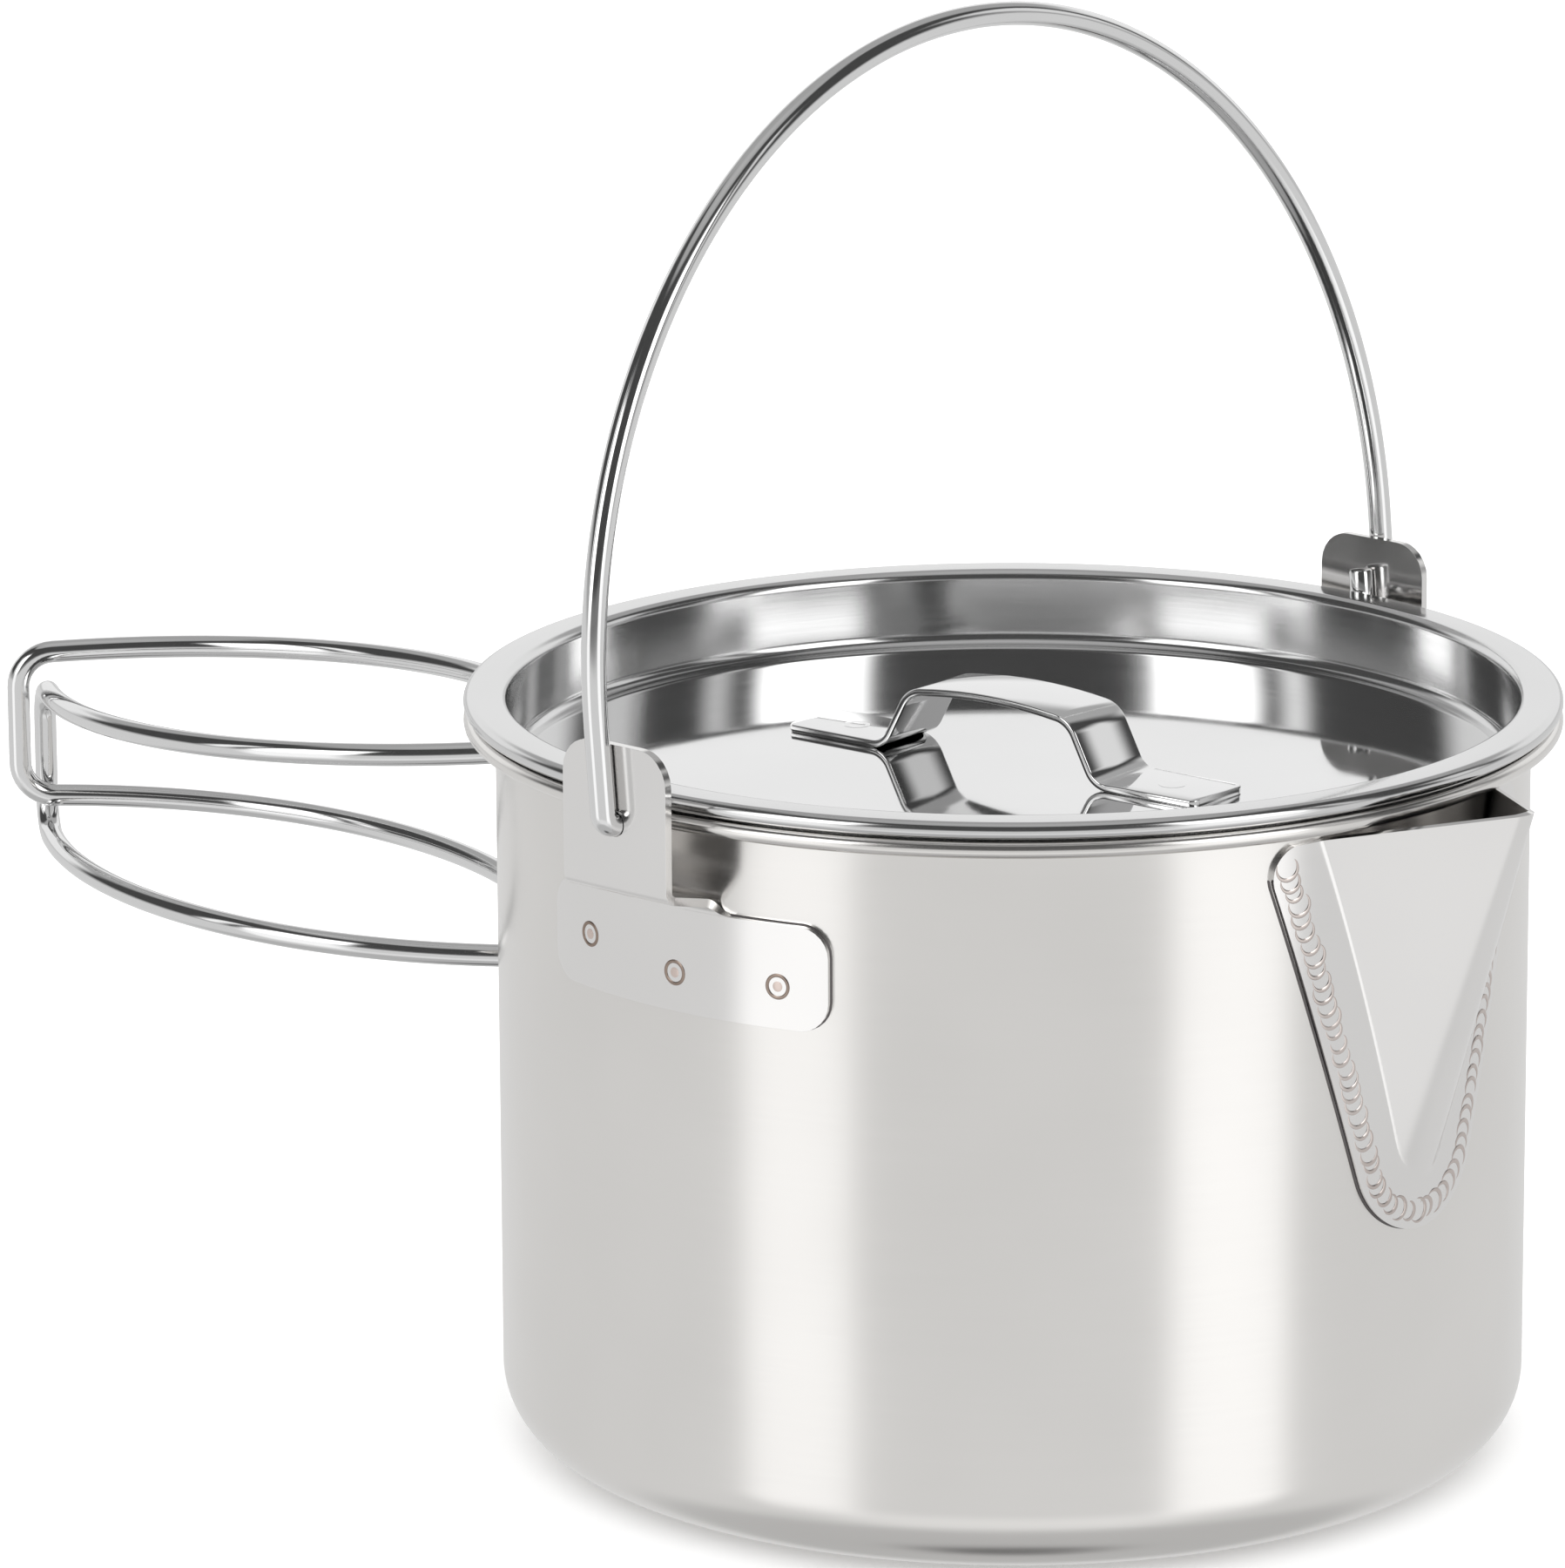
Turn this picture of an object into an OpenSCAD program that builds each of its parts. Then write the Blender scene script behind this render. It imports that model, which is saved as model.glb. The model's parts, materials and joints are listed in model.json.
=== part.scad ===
// Stainless steel camping pot: a straight-sided pot with a pouring spout, a recessed
// lid with a flush strap handle, a wire bail and a pair of crossing wire side handles.
// +Z is up, the origin is the centre of the base, +X points along the spout and the
// bail swings about the Y direction. All sizes are in millimetres.

/* [Pot] */
// Outer radius of the pot wall
body_r = 60.5; // [57:0.5:64]
// Height of the pot to the top of its rim
pot_h = 87.7; // [84:0.1:92]
// Sheet thickness of the pot
pot_t = 0.6; // [0.5:0.1:1]
// Outer radius of the corner between wall and base
corner_r = 8.6; // [5:0.2:12]
// Radius of the rolled bead at the rim
bead_r = 1; // [0.8:0.1:1.2]
// Distance that the rims of pot and lid stand out from the wall
rim_out = 3.7; // [3.5:0.1:4.2]

/* [Lid] */
// Sheet thickness of the lid
lid_t = 0.5; // [0.4:0.1:0.8]
// Depth of the lid's recess below its rim
lid_depth = 9.2; // [8:0.2:14]
// Gap between the lid's recess wall and the pot
lid_gap = 0.4; // [0.3:0.1:0.8]
// Direction of the strap handle, measured from the spout
lid_turn = 3; // [-90:1:90]

/* [Lid strap handle] */
// Width of the strap
strap_w = 10; // [8:0.5:14]
// Thickness of the strap
strap_t = 0.9; // [0.7:0.1:1.2]
// Half of the length from foot tip to foot tip
strap_half = 30; // [27:0.5:36]
// Half of the length of the raised part
strap_top_half = 10; // [8:0.5:14]
// Steepest angle of the risers
strap_rise_a = 62; // [50:1:75]

/* [Bail] */
// Radius of the wire of the bail and of the side handles
wire_r = 1.4; // [1.2:0.1:1.5]
// Height of the pivot above the base
pivot_z = 86.7; // [86:0.1:88]
// Distance from the pot's axis to the legs of the bail
bail_r = 70.1; // [70:0.1:72]
// Length of the straight legs above the pivot
bail_leg = 11.4; // [8:0.2:30]
// Lean of the bail away from the spout
bail_lean = 5; // [0:1:8]

/* [Bail brackets] */
// Thickness of the bracket sheet
bracket_t = 1; // [0.8:0.1:1]
// Width of the upright tab
tab_w = 15.6; // [14:0.2:18]
// Height of the top of the tab
tab_top = 95.8; // [94:0.2:98]
// Distance from the pot's axis to the outer face of the tab
tab_r = 68.4; // [68:0.1:68.5]
// Lowest edge of the curved plate
plate_z = 64; // [62:0.5:66]
// Height of the curved plate
plate_h = 12.1; // [11:0.1:13]
// Width of the curved plate
plate_w = 39.8; // [34:0.2:44]
// Turn of the plate's middle away from the tab's middle
plate_turn = 2; // [0:0.5:3]

/* [Side handles] */
// Direction of the pair of handles, measured from the spout
handle_dir = -173.5; // [-180:0.5:-165]
// Distance from the pot's axis to the hinge pins
hinge_r = 65.2; // [65:0.1:66]
// Sideways distance of each hinge pin from the handle's middle
hinge_side = 2.75; // [2.7:0.05:3.2]
// Reach of a handle from its hinge pin to its tip
handle_reach = 84.7; // [70:0.1:90]
// Angle between the handle's wire and its chord at each end
handle_bow = 43; // [38:0.5:46]
// Height of a handle at the hinge, between the wire's centres
handle_h_root = 26; // [25:0.2:28]
// Height of a handle at the tip, between the wire's centres
handle_h_tip = 18.7; // [17:0.1:22]
// Height of the middle between the two handles
handle_z = 62; // [61:0.2:63]
// Vertical offset between the two handles
handle_step = 5.1; // [4.8:0.1:5.4]

/* [Spout] */
// Sheet thickness of the spout
spout_t = 0.7; // [0.5:0.1:0.9]
// Distance from the pot's axis to the spout's tip
spout_tip_r = 76; // [72:0.5:76]
// Height of the spout's tip
spout_tip_z = 87.2; // [86:0.1:87.5]
// Lean of the spout's keel from the vertical
spout_lean = 16.9; // [15:0.1:18]
// Angle between each side of the trough and its middle plane
spout_half_a = 43.9; // [42:0.1:46]
// Outer radius of the keel
spout_keel_r = 2.5; // [2:0.1:3]
// Fall of the trough's edge from its tip towards the pot
spout_edge_a = 9.2; // [8:0.1:10]
// Diameter of the pierced strainer holes behind the spout
strainer_d = 3.5; // [3:0.1:4]

/* [Hidden] */
$fn = 96;
wall_fn = 180;
fine_fn = 32;
// Overlap of profiles that share an edge, and how far a cutter runs past what it cuts
eps = 0.01;
cut = 1;
// Straight pieces that stand for one bend of a sheet
bend_cuts = 10;
// How far a ball at a wire's join stands proud of the wire
join_swell = 0.03;
steel = [0.80, 0.80, 0.79];
bright = [0.86, 0.86, 0.86];

rim_r = body_r + rim_out;
inner_r = body_r - pot_t;

// Lid levels and radii
rim_gap = 0.2;
lid_top = pot_h + rim_gap + 2 * bead_r;
lid_floor = lid_top - lid_depth;
lid_wall_r = inner_r - lid_gap;
lid_fillet = 1.5;
lid_bend = 1.2;

// Strap handle bends, measured on the middle of the sheet
strap_foot_bend = 3;
strap_top_bend = 3.5;
strap_crown_a = 8;
strap_rise = 8;
strap_crown_r = strap_top_half / sin(strap_crown_a);
strap_bends_h = strap_foot_bend * (1 - cos(strap_rise_a))
    + strap_top_bend * (cos(strap_crown_a) - cos(strap_rise_a))
    + strap_crown_r * (1 - cos(strap_crown_a));
strap_riser = (strap_rise - strap_bends_h) / sin(strap_rise_a);
strap_step_l = strap_foot_bend * sin(strap_rise_a) + strap_riser * cos(strap_rise_a)
    + strap_top_bend * (sin(strap_rise_a) - sin(strap_crown_a));
strap_foot_l = strap_half - strap_top_half - strap_step_l;

// Bail hook, which passes through the tab and turns up behind it
pin_play = 0.08;
hook_r = 65.8;
hook_up = 5.2;
hook_bend_in = 1.5;
hook_bend_out = 1.6;

// Joggle of the bail bracket
joggle_bend = 1.5;
joggle_top_bend = 1.2;
joggle_foot = 2;
joggle_a = 76;
plate_corner = 3.5;
tab_corner = 4;
plate_top = plate_z + plate_h;
joggle_out = tab_r - bracket_t - body_r;
joggle_l = (joggle_out - (joggle_bend + joggle_top_bend) * (1 - cos(joggle_a))) / sin(joggle_a);
joggle_rise = (joggle_bend + joggle_top_bend) * sin(joggle_a) + joggle_l * cos(joggle_a);

// Side handle wire: corner bends, the arc's radius and the slope of its plane
loop_corner = 4.5;
loop_arc_r = (handle_reach - 2 * loop_corner * cos(handle_bow)) / (2 * sin(handle_bow));
loop_slope = atan((handle_h_root - handle_h_tip) / (4 * loop_arc_r * sin(handle_bow)));

// Hinge plates of the side handles
barrel_play = 0.06;
barrel_t = 0.8;
barrel_h = 11;
barrel_r = wire_r + barrel_play + barrel_t;
hinge_plate_l = 20;
hinge_plate_t = 0.8;
hinge_plate_corner = 2;
// Where the flat part starts, and how far along it the rolled end lifts off the wall
hinge_plate_start = 9;
hinge_plate_lead = 5;
hinge_web = 1.5;
hinge_wrap_a = 25;

// Spout flange outline, seen along the spout
flange_low_r = 10.6;
flange_low_z = 37;
flange_top_z = 84.5;
flange_side_a = 18.1;
flange_corner = 3.8;

// Extent of the trough before it is trimmed: above and below the tip, and along each side
trough_above = 6;
trough_below = 54;
trough_far = 34;

// Strainer rows, from the top row down
strainer_z = 76;
strainer_pitch = 4.5;
strainer_rows = 5;
strainer_cut = 16;

function unit(v) = v / norm(v);
function normal(a) = [-sin(a), cos(a)];
function side(t0, t1) = unit(t1 - (t0 * t1) * t0);
function turn(t0, t1) = acos(t0 * t1);
// End point of a bend of radius r that starts at p along t0 and ends along t1
function bend_end(p, t0, t1, r) =
    p + r * side(t0, t1) * (1 - cos(turn(t0, t1))) + r * t0 * sin(turn(t0, t1));

// Straight wire from p to q
module rod(p, q) {
    d = q - p;
    translate(p)
        rotate([0, acos(d.z / norm(d)), atan2(d.y, d.x)])
            cylinder(r = wire_r, h = norm(d), $fn = fine_fn);
}

// Bent wire: a piece of a torus from p along t0 to the direction t1
module bend(p, t0, t1, r) {
    u = side(t0, t1);
    n = cross(t0, u);
    c = p + r * u;
    multmatrix([
        [-u.x, t0.x, n.x, c.x],
        [-u.y, t0.y, n.y, c.y],
        [-u.z, t0.z, n.z, c.z],
        [0, 0, 0, 1]
    ])
        rotate_extrude(angle = turn(t0, t1))
            translate([r, 0])
                circle(r = wire_r, $fn = fine_fn);
}

// Wire along a list of steps, each a straight length, a bend radius and a new direction.
// A ball, just proud of the wire, closes each join.
module wire_run(p, t, steps, i = 0) {
    s = steps[i];
    q = p + s[0] * t;
    if (s[0] > 0) rod(p, q);
    if (len(s) > 1) {
        bend(q, t, s[2], s[1]);
        for (e = [q, bend_end(q, t, s[2], s[1])])
            translate(e) sphere(r = wire_r + join_swell, $fn = fine_fn);
        if (i + 1 < len(steps)) wire_run(bend_end(q, t, s[2], s[1]), s[2], steps, i + 1);
    }
}

// Stations along a bent strip, each a point and a heading. Each step is a straight length,
// a bend radius and an angle, positive to the left.
function arc_stations(p, a, r, turned) = [
    for (k = [1 : bend_cuts])
        let (h = a + turned * k / bend_cuts, c = p + sign(turned) * r * normal(a))
            [c - sign(turned) * r * normal(h), h]
];
function strip_stations(steps, p, a, i = 0) =
    i == len(steps) ? [] :
    let (
        s = steps[i],
        q = p + s[0] * [cos(a), sin(a)],
        line = s[0] > 0 ? [[q, a]] : [],
        arc = len(s) > 1 ? arc_stations(q, a, s[1], s[2]) : [],
        done = concat(line, arc),
        last = done[len(done) - 1]
    )
    concat(done, strip_stations(steps, last[0], last[1], i + 1));

// Side view of a bent strip of thickness t that starts at p with heading a
module strip_outline(steps, t, p, a) {
    stations = concat([[p, a]], strip_stations(steps, p, a));
    n = len(stations);
    polygon(concat(
        [for (s = stations) s[0] + t / 2 * normal(s[1])],
        [for (i = [1 : n]) stations[n - i][0] - t / 2 * normal(stations[n - i][1])]
    ));
}

// Rectangle with round corners, from the corner at the origin
module rounded_rect(w, h, r) {
    translate([r, 0]) square([w - 2 * r, h]);
    translate([0, r]) square([w, h - 2 * r]);
    for (x = [r, w - r], y = [r, h - r]) translate([x, y]) circle(r = r, $fn = fine_fn);
}

// Quarter of a ring between radii ri and ro about the point c; qx and qy pick the quarter
module quarter_band(c, ri, ro, qx, qy) {
    translate(c)
        intersection() {
            difference() {
                circle(r = ro);
                circle(r = ri);
            }
            translate([qx > 0 ? 0 : -ro, qy > 0 ? 0 : -ro]) square(ro);
        }
}

// Curved sheet on the pot wall, cut to a flat outline that is seen along +X
module wall_sheet(t) {
    intersection() {
        difference() {
            cylinder(r = body_r + t, h = pot_h, $fn = wall_fn);
            translate([0, 0, -cut]) cylinder(r = body_r, h = pot_h + 2 * cut, $fn = wall_fn);
        }
        rotate([90, 0, 90]) linear_extrude(height = body_r + t + cut) children();
    }
}

module pot_body() {
    color(steel)
        difference() {
            rotate_extrude($fn = wall_fn) {
                square([body_r - corner_r + eps, pot_t]);
                quarter_band([body_r - corner_r, corner_r], corner_r - pot_t, corner_r, 1, -1);
                translate([inner_r, corner_r]) square([pot_t, pot_h - lid_bend - corner_r]);
                quarter_band([body_r + lid_bend - pot_t, pot_h - lid_bend],
                    lid_bend - pot_t, lid_bend, -1, 1);
                translate([body_r + lid_bend - pot_t, pot_h - pot_t])
                    square([rim_out - lid_bend - bead_r + pot_t, pot_t]);
                translate([rim_r - bead_r, pot_h - bead_r]) circle(r = bead_r, $fn = fine_fn);
            }
            for (row = [0 : strainer_rows - 1], k = [0 : strainer_rows - 1 - row])
                translate([
                    body_r - strainer_cut / 2,
                    (k - (strainer_rows - 1 - row) / 2) * strainer_pitch,
                    strainer_z - row * strainer_pitch
                ])
                    rotate([0, 90, 0]) cylinder(d = strainer_d, h = strainer_cut, $fn = fine_fn);
        }
}

// Filled V section of the trough in the plane across its keel, with a keel of radius r
module trough_section(r, far) {
    a = 90 - spout_half_a;
    polygon(concat(
        [r * [cos(a), -sin(a)] - far * normal(-a)],
        arc_points([0, 0], r, -a, a),
        [r * [cos(a), sin(a)] + far * normal(a)]
    ));
}

// Prism of the filled trough section along the keel, set in by the distance given
module trough_prism(inset) {
    translate([spout_tip_r, 0, spout_tip_z])
        rotate([0, spout_lean, 0])
            translate([-spout_keel_r, 0, -trough_below - inset])
                linear_extrude(height = trough_above + trough_below + 2 * inset)
                    trough_section(spout_keel_r - inset, trough_far + inset);
}

function arc_points(c, r, a0, a1) = [
    for (k = [0 : bend_cuts])
        let (a = a0 + (a1 - a0) * k / bend_cuts)
            c + r * [cos(a), sin(a)]
];

// Outline of the spout's welding flange, made of one half and its mirror image
module flange_outline() {
    zc = flange_low_z + flange_low_r;
    top_z = flange_top_z - flange_corner;
    corner_y = (flange_low_r - flange_corner) / cos(flange_side_a)
        + (top_z - zc) * tan(flange_side_a);
    half = concat(
        arc_points([0, zc], flange_low_r, -90, -flange_side_a),
        arc_points([corner_y, top_z], flange_corner, -flange_side_a, 90)
    );
    for (m = [0, 1]) mirror([m, 0, 0]) polygon(concat([[-eps, flange_low_z]], half,
        [[-eps, flange_top_z]]));
}

module spout() {
    edge_far = 40;
    edge_clear = 20;
    color(steel)
        difference() {
            union() {
                trough_prism(0);
                wall_sheet(spout_t) flange_outline();
            }
            trough_prism(spout_t);
            translate([0, 0, -cut]) cylinder(r = body_r, h = pot_h + edge_clear, $fn = wall_fn);
            translate([spout_tip_r, -edge_far, spout_tip_z])
                rotate([0, -spout_edge_a, 0])
                    translate([-edge_far, 0, 0]) cube([2 * edge_far, 2 * edge_far, edge_clear]);
        }
}

// One bail bracket: a curved plate, a joggle that clears the rims and a pierced tab
module bail_bracket() {
    tab_l = tab_top - plate_top - joggle_rise;
    low_z = plate_z - 2 * tab_corner;
    color(bright)
        difference() {
            union() {
                rotate([0, 0, plate_turn])
                    wall_sheet(bracket_t)
                        translate([-plate_w / 2, plate_z])
                            rounded_rect(plate_w, plate_h, plate_corner);
                intersection() {
                    rotate([90, 0, 0])
                        translate([0, 0, -tab_w / 2])
                            linear_extrude(height = tab_w)
                                strip_outline([
                                    [joggle_foot, joggle_bend, -joggle_a],
                                    [joggle_l, joggle_top_bend, joggle_a],
                                    [tab_l]
                                ], bracket_t, [body_r + bracket_t / 2, plate_top - joggle_foot], 90);
                    rotate([90, 0, 90])
                        linear_extrude(height = tab_r + cut)
                            translate([-tab_w / 2, low_z])
                                rounded_rect(tab_w, tab_top - low_z, tab_corner);
                }
            }
            cylinder(r = body_r, h = tab_top, $fn = wall_fn);
            translate([body_r, 0, pivot_z])
                rotate([0, 90, 0])
                    cylinder(r = wire_r + pin_play, h = tab_r - body_r + cut, $fn = fine_fn);
        }
}

module bail_bracket_front() {
    rotate([0, 0, -90]) bail_bracket();
}

module bail_bracket_rear() {
    rotate([0, 0, 90]) bail_bracket();
}

// One hinge plate: a sheet on the wall whose end is rolled around the hinge pin.
// The handle's own direction is +X here, and the plate runs towards +Y.
module hinge_plate(z0) {
    pin = [hinge_r, hinge_side, 0];
    lift_y = hinge_plate_start + hinge_plate_lead;
    roll = barrel_r * [sin(hinge_wrap_a), cos(hinge_wrap_a)];
    color(bright)
        difference() {
            union() {
                wall_sheet(hinge_plate_t)
                    translate([hinge_plate_start, z0])
                        rounded_rect(hinge_side + hinge_plate_l - hinge_plate_start, barrel_h,
                            hinge_plate_corner);
                translate([0, 0, z0]) {
                    linear_extrude(height = barrel_h)
                        polygon([
                            [body_r - hinge_web, lift_y],
                            [body_r - hinge_plate_t / 2, lift_y],
                            [pin.x + roll.x, pin.y + roll.y],
                            [pin.x - roll.x, pin.y + roll.y - hinge_web]
                        ]);
                    translate(pin) cylinder(r = barrel_r, h = barrel_h, $fn = fine_fn);
                }
            }
            translate([0, 0, z0 - cut])
                cylinder(r = body_r, h = barrel_h + 2 * cut, $fn = wall_fn);
            translate([pin.x, pin.y, z0 - cut])
                cylinder(r = wire_r + barrel_play, h = barrel_h + 2 * cut, $fn = fine_fn);
        }
}

module hinge_plate_upper() {
    rotate([0, 0, handle_dir]) hinge_plate(handle_z - barrel_h / 2);
}

module hinge_plate_lower() {
    rotate([0, 0, handle_dir]) mirror([0, 1, 0]) hinge_plate(handle_z - barrel_h / 2);
}

module bail() {
    start = [0, -hook_r, pivot_z + hook_up];
    across = bail_r - hook_r - hook_bend_in - hook_bend_out;
    color(bright)
        translate([0, 0, pivot_z])
            rotate([0, -bail_lean, 0])
                translate([0, 0, -pivot_z])
                    for (m = [0, 1]) mirror([0, m, 0])
                        wire_run(start, [0, 0, -1], [
                            [hook_up - hook_bend_in, hook_bend_in, [0, -1, 0]],
                            [across, hook_bend_out, [0, 0, 1]],
                            [bail_leg - hook_bend_out, bail_r, [0, 1, 0]]
                        ]);
}

// Upper half of a handle, from the middle of its hinge pin to the middle of its tip
module loop_half() {
    up = [0, 0, 1];
    out = [
        cos(handle_bow) * cos(loop_slope),
        -sin(handle_bow),
        -cos(handle_bow) * sin(loop_slope)
    ];
    back = [out.x, -out.y, out.z];
    pin_half = handle_h_root / 2 - loop_corner;
    p1 = bend_end([0, 0, pin_half], up, out, loop_corner);
    p2 = bend_end(p1, out, back, loop_arc_r);
    p3 = bend_end(p2, back, -up, loop_corner);
    wire_run([0, 0, 0], up, [
        [pin_half, loop_corner, out],
        [0, loop_arc_r, back],
        [0, loop_corner, -up],
        [p3.z]
    ]);
}

// The handle's own direction is +X and its pin stands at +Y of the middle
module handle_loop(z) {
    color(bright)
        translate([hinge_r, hinge_side, z])
            for (m = [0, 1]) mirror([0, 0, m]) loop_half();
}

module handle_loop_upper() {
    rotate([0, 0, handle_dir]) handle_loop(handle_z + handle_step / 2);
}

module handle_loop_lower() {
    rotate([0, 0, handle_dir]) mirror([0, 1, 0]) handle_loop(handle_z - handle_step / 2);
}

module lid() {
    floor_r = lid_wall_r - lid_fillet - lid_t;
    bend_x = lid_wall_r - lid_t + lid_bend;
    color(steel)
        rotate_extrude($fn = wall_fn) {
            translate([0, lid_floor - lid_t]) square([floor_r, lid_t]);
            quarter_band([floor_r, lid_floor + lid_fillet], lid_fillet, lid_fillet + lid_t, 1, -1);
            translate([lid_wall_r - lid_t, lid_floor + lid_fillet])
                square([lid_t, lid_top - lid_bend - lid_floor - lid_fillet]);
            quarter_band([bend_x, lid_top - lid_bend], lid_bend - lid_t, lid_bend, -1, 1);
            translate([bend_x, lid_top - lid_t]) square([rim_r - bead_r - bend_x, lid_t]);
            translate([rim_r - bead_r, lid_top - bead_r]) circle(r = bead_r, $fn = fine_fn);
        }
}

module lid_handle() {
    steps = [
        [strap_foot_l, strap_foot_bend, strap_rise_a],
        [strap_riser, strap_top_bend, strap_crown_a - strap_rise_a],
        [0, strap_crown_r, -2 * strap_crown_a],
        [0, strap_top_bend, strap_crown_a - strap_rise_a],
        [strap_riser, strap_foot_bend, strap_rise_a],
        [strap_foot_l]
    ];
    color(bright)
        rotate([0, 0, lid_turn])
            rotate([90, 0, 0])
                translate([0, 0, -strap_w / 2])
                    linear_extrude(height = strap_w)
                        strip_outline(steps, strap_t, [-strap_half, lid_floor + strap_t / 2], 0);
}

pot_body();
spout();
bail_bracket_front();
bail_bracket_rear();
hinge_plate_upper();
hinge_plate_lower();
bail();
handle_loop_upper();
handle_loop_lower();
lid();
lid_handle();
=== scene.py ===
"""Looks of the stainless camping pot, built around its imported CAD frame.

Lengths are in millimetres until make_piece() turns them into metres.
"""

import json
import math
import random

import bmesh
import bpy
import numpy as np
from mathutils import Matrix, Vector


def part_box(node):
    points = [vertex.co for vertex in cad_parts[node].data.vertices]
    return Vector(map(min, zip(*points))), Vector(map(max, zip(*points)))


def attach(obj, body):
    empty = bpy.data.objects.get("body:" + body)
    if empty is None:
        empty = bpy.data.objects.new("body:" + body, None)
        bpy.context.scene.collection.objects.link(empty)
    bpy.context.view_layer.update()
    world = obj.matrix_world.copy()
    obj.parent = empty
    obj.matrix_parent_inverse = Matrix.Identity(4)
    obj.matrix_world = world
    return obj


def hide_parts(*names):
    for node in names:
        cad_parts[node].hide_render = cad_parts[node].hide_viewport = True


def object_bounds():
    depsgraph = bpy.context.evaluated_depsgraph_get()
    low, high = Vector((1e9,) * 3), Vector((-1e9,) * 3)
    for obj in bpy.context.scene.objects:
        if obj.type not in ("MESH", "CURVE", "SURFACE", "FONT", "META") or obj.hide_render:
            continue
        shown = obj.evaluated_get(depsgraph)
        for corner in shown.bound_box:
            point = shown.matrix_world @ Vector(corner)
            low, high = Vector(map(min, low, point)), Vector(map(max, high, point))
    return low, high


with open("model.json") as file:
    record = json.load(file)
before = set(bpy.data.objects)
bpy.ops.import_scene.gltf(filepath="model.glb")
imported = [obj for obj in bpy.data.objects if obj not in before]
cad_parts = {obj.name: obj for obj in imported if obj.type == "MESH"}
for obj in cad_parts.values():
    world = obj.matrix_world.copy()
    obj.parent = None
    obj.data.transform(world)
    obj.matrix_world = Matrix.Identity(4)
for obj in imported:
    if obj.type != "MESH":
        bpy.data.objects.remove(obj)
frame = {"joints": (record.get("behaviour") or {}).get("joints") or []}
cad_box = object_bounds()

MM = 0.001
JOINTS = {joint["name"]: joint for joint in frame["joints"]}


def box_mm(node):
    low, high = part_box(node)
    return np.array(low) / MM, np.array(high) / MM


def joint_mm(name):
    return np.array(JOINTS[name]["pos_m"]) / MM


# ---------------------------------------------------------------- sizes that the frame gives
POT_HIGH = box_mm("pot_body")[1]
LID_LOW, LID_HIGH = box_mm("lid")
SPOUT_LOW, SPOUT_HIGH = box_mm("spout")
TAB_LOW, TAB_HIGH = box_mm("bail_bracket_front")
PLATE_LOW, PLATE_HIGH = box_mm("hinge_plate_upper")
RIM_R = POT_HIGH[0]
POT_H = POT_HIGH[2]
LID_TOP = LID_HIGH[2]
TAB_TOP = TAB_HIGH[2]
TAB_R = -TAB_LOW[1]
PLATE_Z = TAB_LOW[2]
PIVOT_Z = joint_mm("bail_swing")[2]

# ---------------------------------------------------------------- sheet and wire details
RIM_OUT = 3.7
BEAD_R = 1.0
POT_T = 0.6
CORNER_R = 8.6
RIM_BEND = 1.2
BODY_R = RIM_R - RIM_OUT
INNER_R = BODY_R - POT_T

LID_T = 0.5
LID_GAP = 0.4
LID_FILLET = 1.5
LID_FLOOR = LID_LOW[2] + LID_T
LID_WALL_R = INNER_R - LID_GAP
LID_TURN = 3

WIRE_R = 1.4
SPOUT_T = 0.7

# Dark lines of painted shade where a plate's edge meets the wall, standing in for the shadow in the gap:
# how far out they lie and how thick they are.
GAP_SHADE_LINE_AT = BODY_R + 0.08
GAP_SHADE_LINE_R = 0.12

# Edges: the angles from which they are shaded sharp or rounded by a bevel, in degrees.
SHARP_A = 38
BEVEL_A = 50
WIRE_DOME = 0.35


# ---------------------------------------------------------------- mesh helpers
def grid_faces(rows, columns, wrap_rows=False, wrap_columns=False):
    """Quads of a grid of rows * columns points."""
    faces = []
    for i in range(rows if wrap_rows else rows - 1):
        below, above = i * columns, (i + 1) % rows * columns
        for j in range(columns if wrap_columns else columns - 1):
            k = (j + 1) % columns
            faces.append((below + j, below + k, above + k, above + j))
    return faces


def join(parts):
    """One shape from several (points, faces) shapes."""
    points, faces, offset = [], [], 0
    for part_points, part_faces in parts:
        points.append(np.asarray(part_points, float))
        faces += [tuple(i + offset for i in face) for face in part_faces]
        offset += len(part_points)
    return np.vstack(points), faces


def end_caps(rows, columns):
    """Faces that close the first and the last ring of a tube."""
    return [tuple(range(columns - 1, -1, -1)), tuple((rows - 1) * columns + j for j in range(columns))]


def unit(vectors):
    """Vectors scaled to length 1."""
    return vectors / np.linalg.norm(vectors, axis=-1, keepdims=True)


def distances(line):
    """How far along a line of points each of them lies."""
    return np.concatenate([[0], np.cumsum(np.linalg.norm(np.diff(line, axis=0), axis=1))])


def arc(centre, radius, start, end, count):
    """Points of a flat arc, angles in degrees."""
    angles = np.radians(np.linspace(start, end, count + 1))
    return np.stack([centre[0] + radius * np.cos(angles), centre[1] + radius * np.sin(angles)], 1)


def lathe(profile, segments=256):
    """Surface of revolution. The profile starts and ends on the axis."""
    rings = np.asarray(profile[1:-1], float)
    angles = np.arange(segments) * 2 * math.pi / segments
    x = rings[:, :1] * np.cos(angles)
    y = rings[:, :1] * np.sin(angles)
    z = np.repeat(rings[:, 1:], segments, 1)
    points = np.stack([x, y, z], 2).reshape(-1, 3)
    poles = [(0, 0, profile[0][1]), (0, 0, profile[-1][1])]
    first, last = len(points), len(points) + 1
    faces = grid_faces(len(rings), segments, wrap_columns=True)
    top = (len(rings) - 1) * segments
    for j in range(segments):
        k = (j + 1) % segments
        faces.append((first, k, j))
        faces.append((last, top + j, top + k))
    return np.vstack([points, poles]), faces


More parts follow.
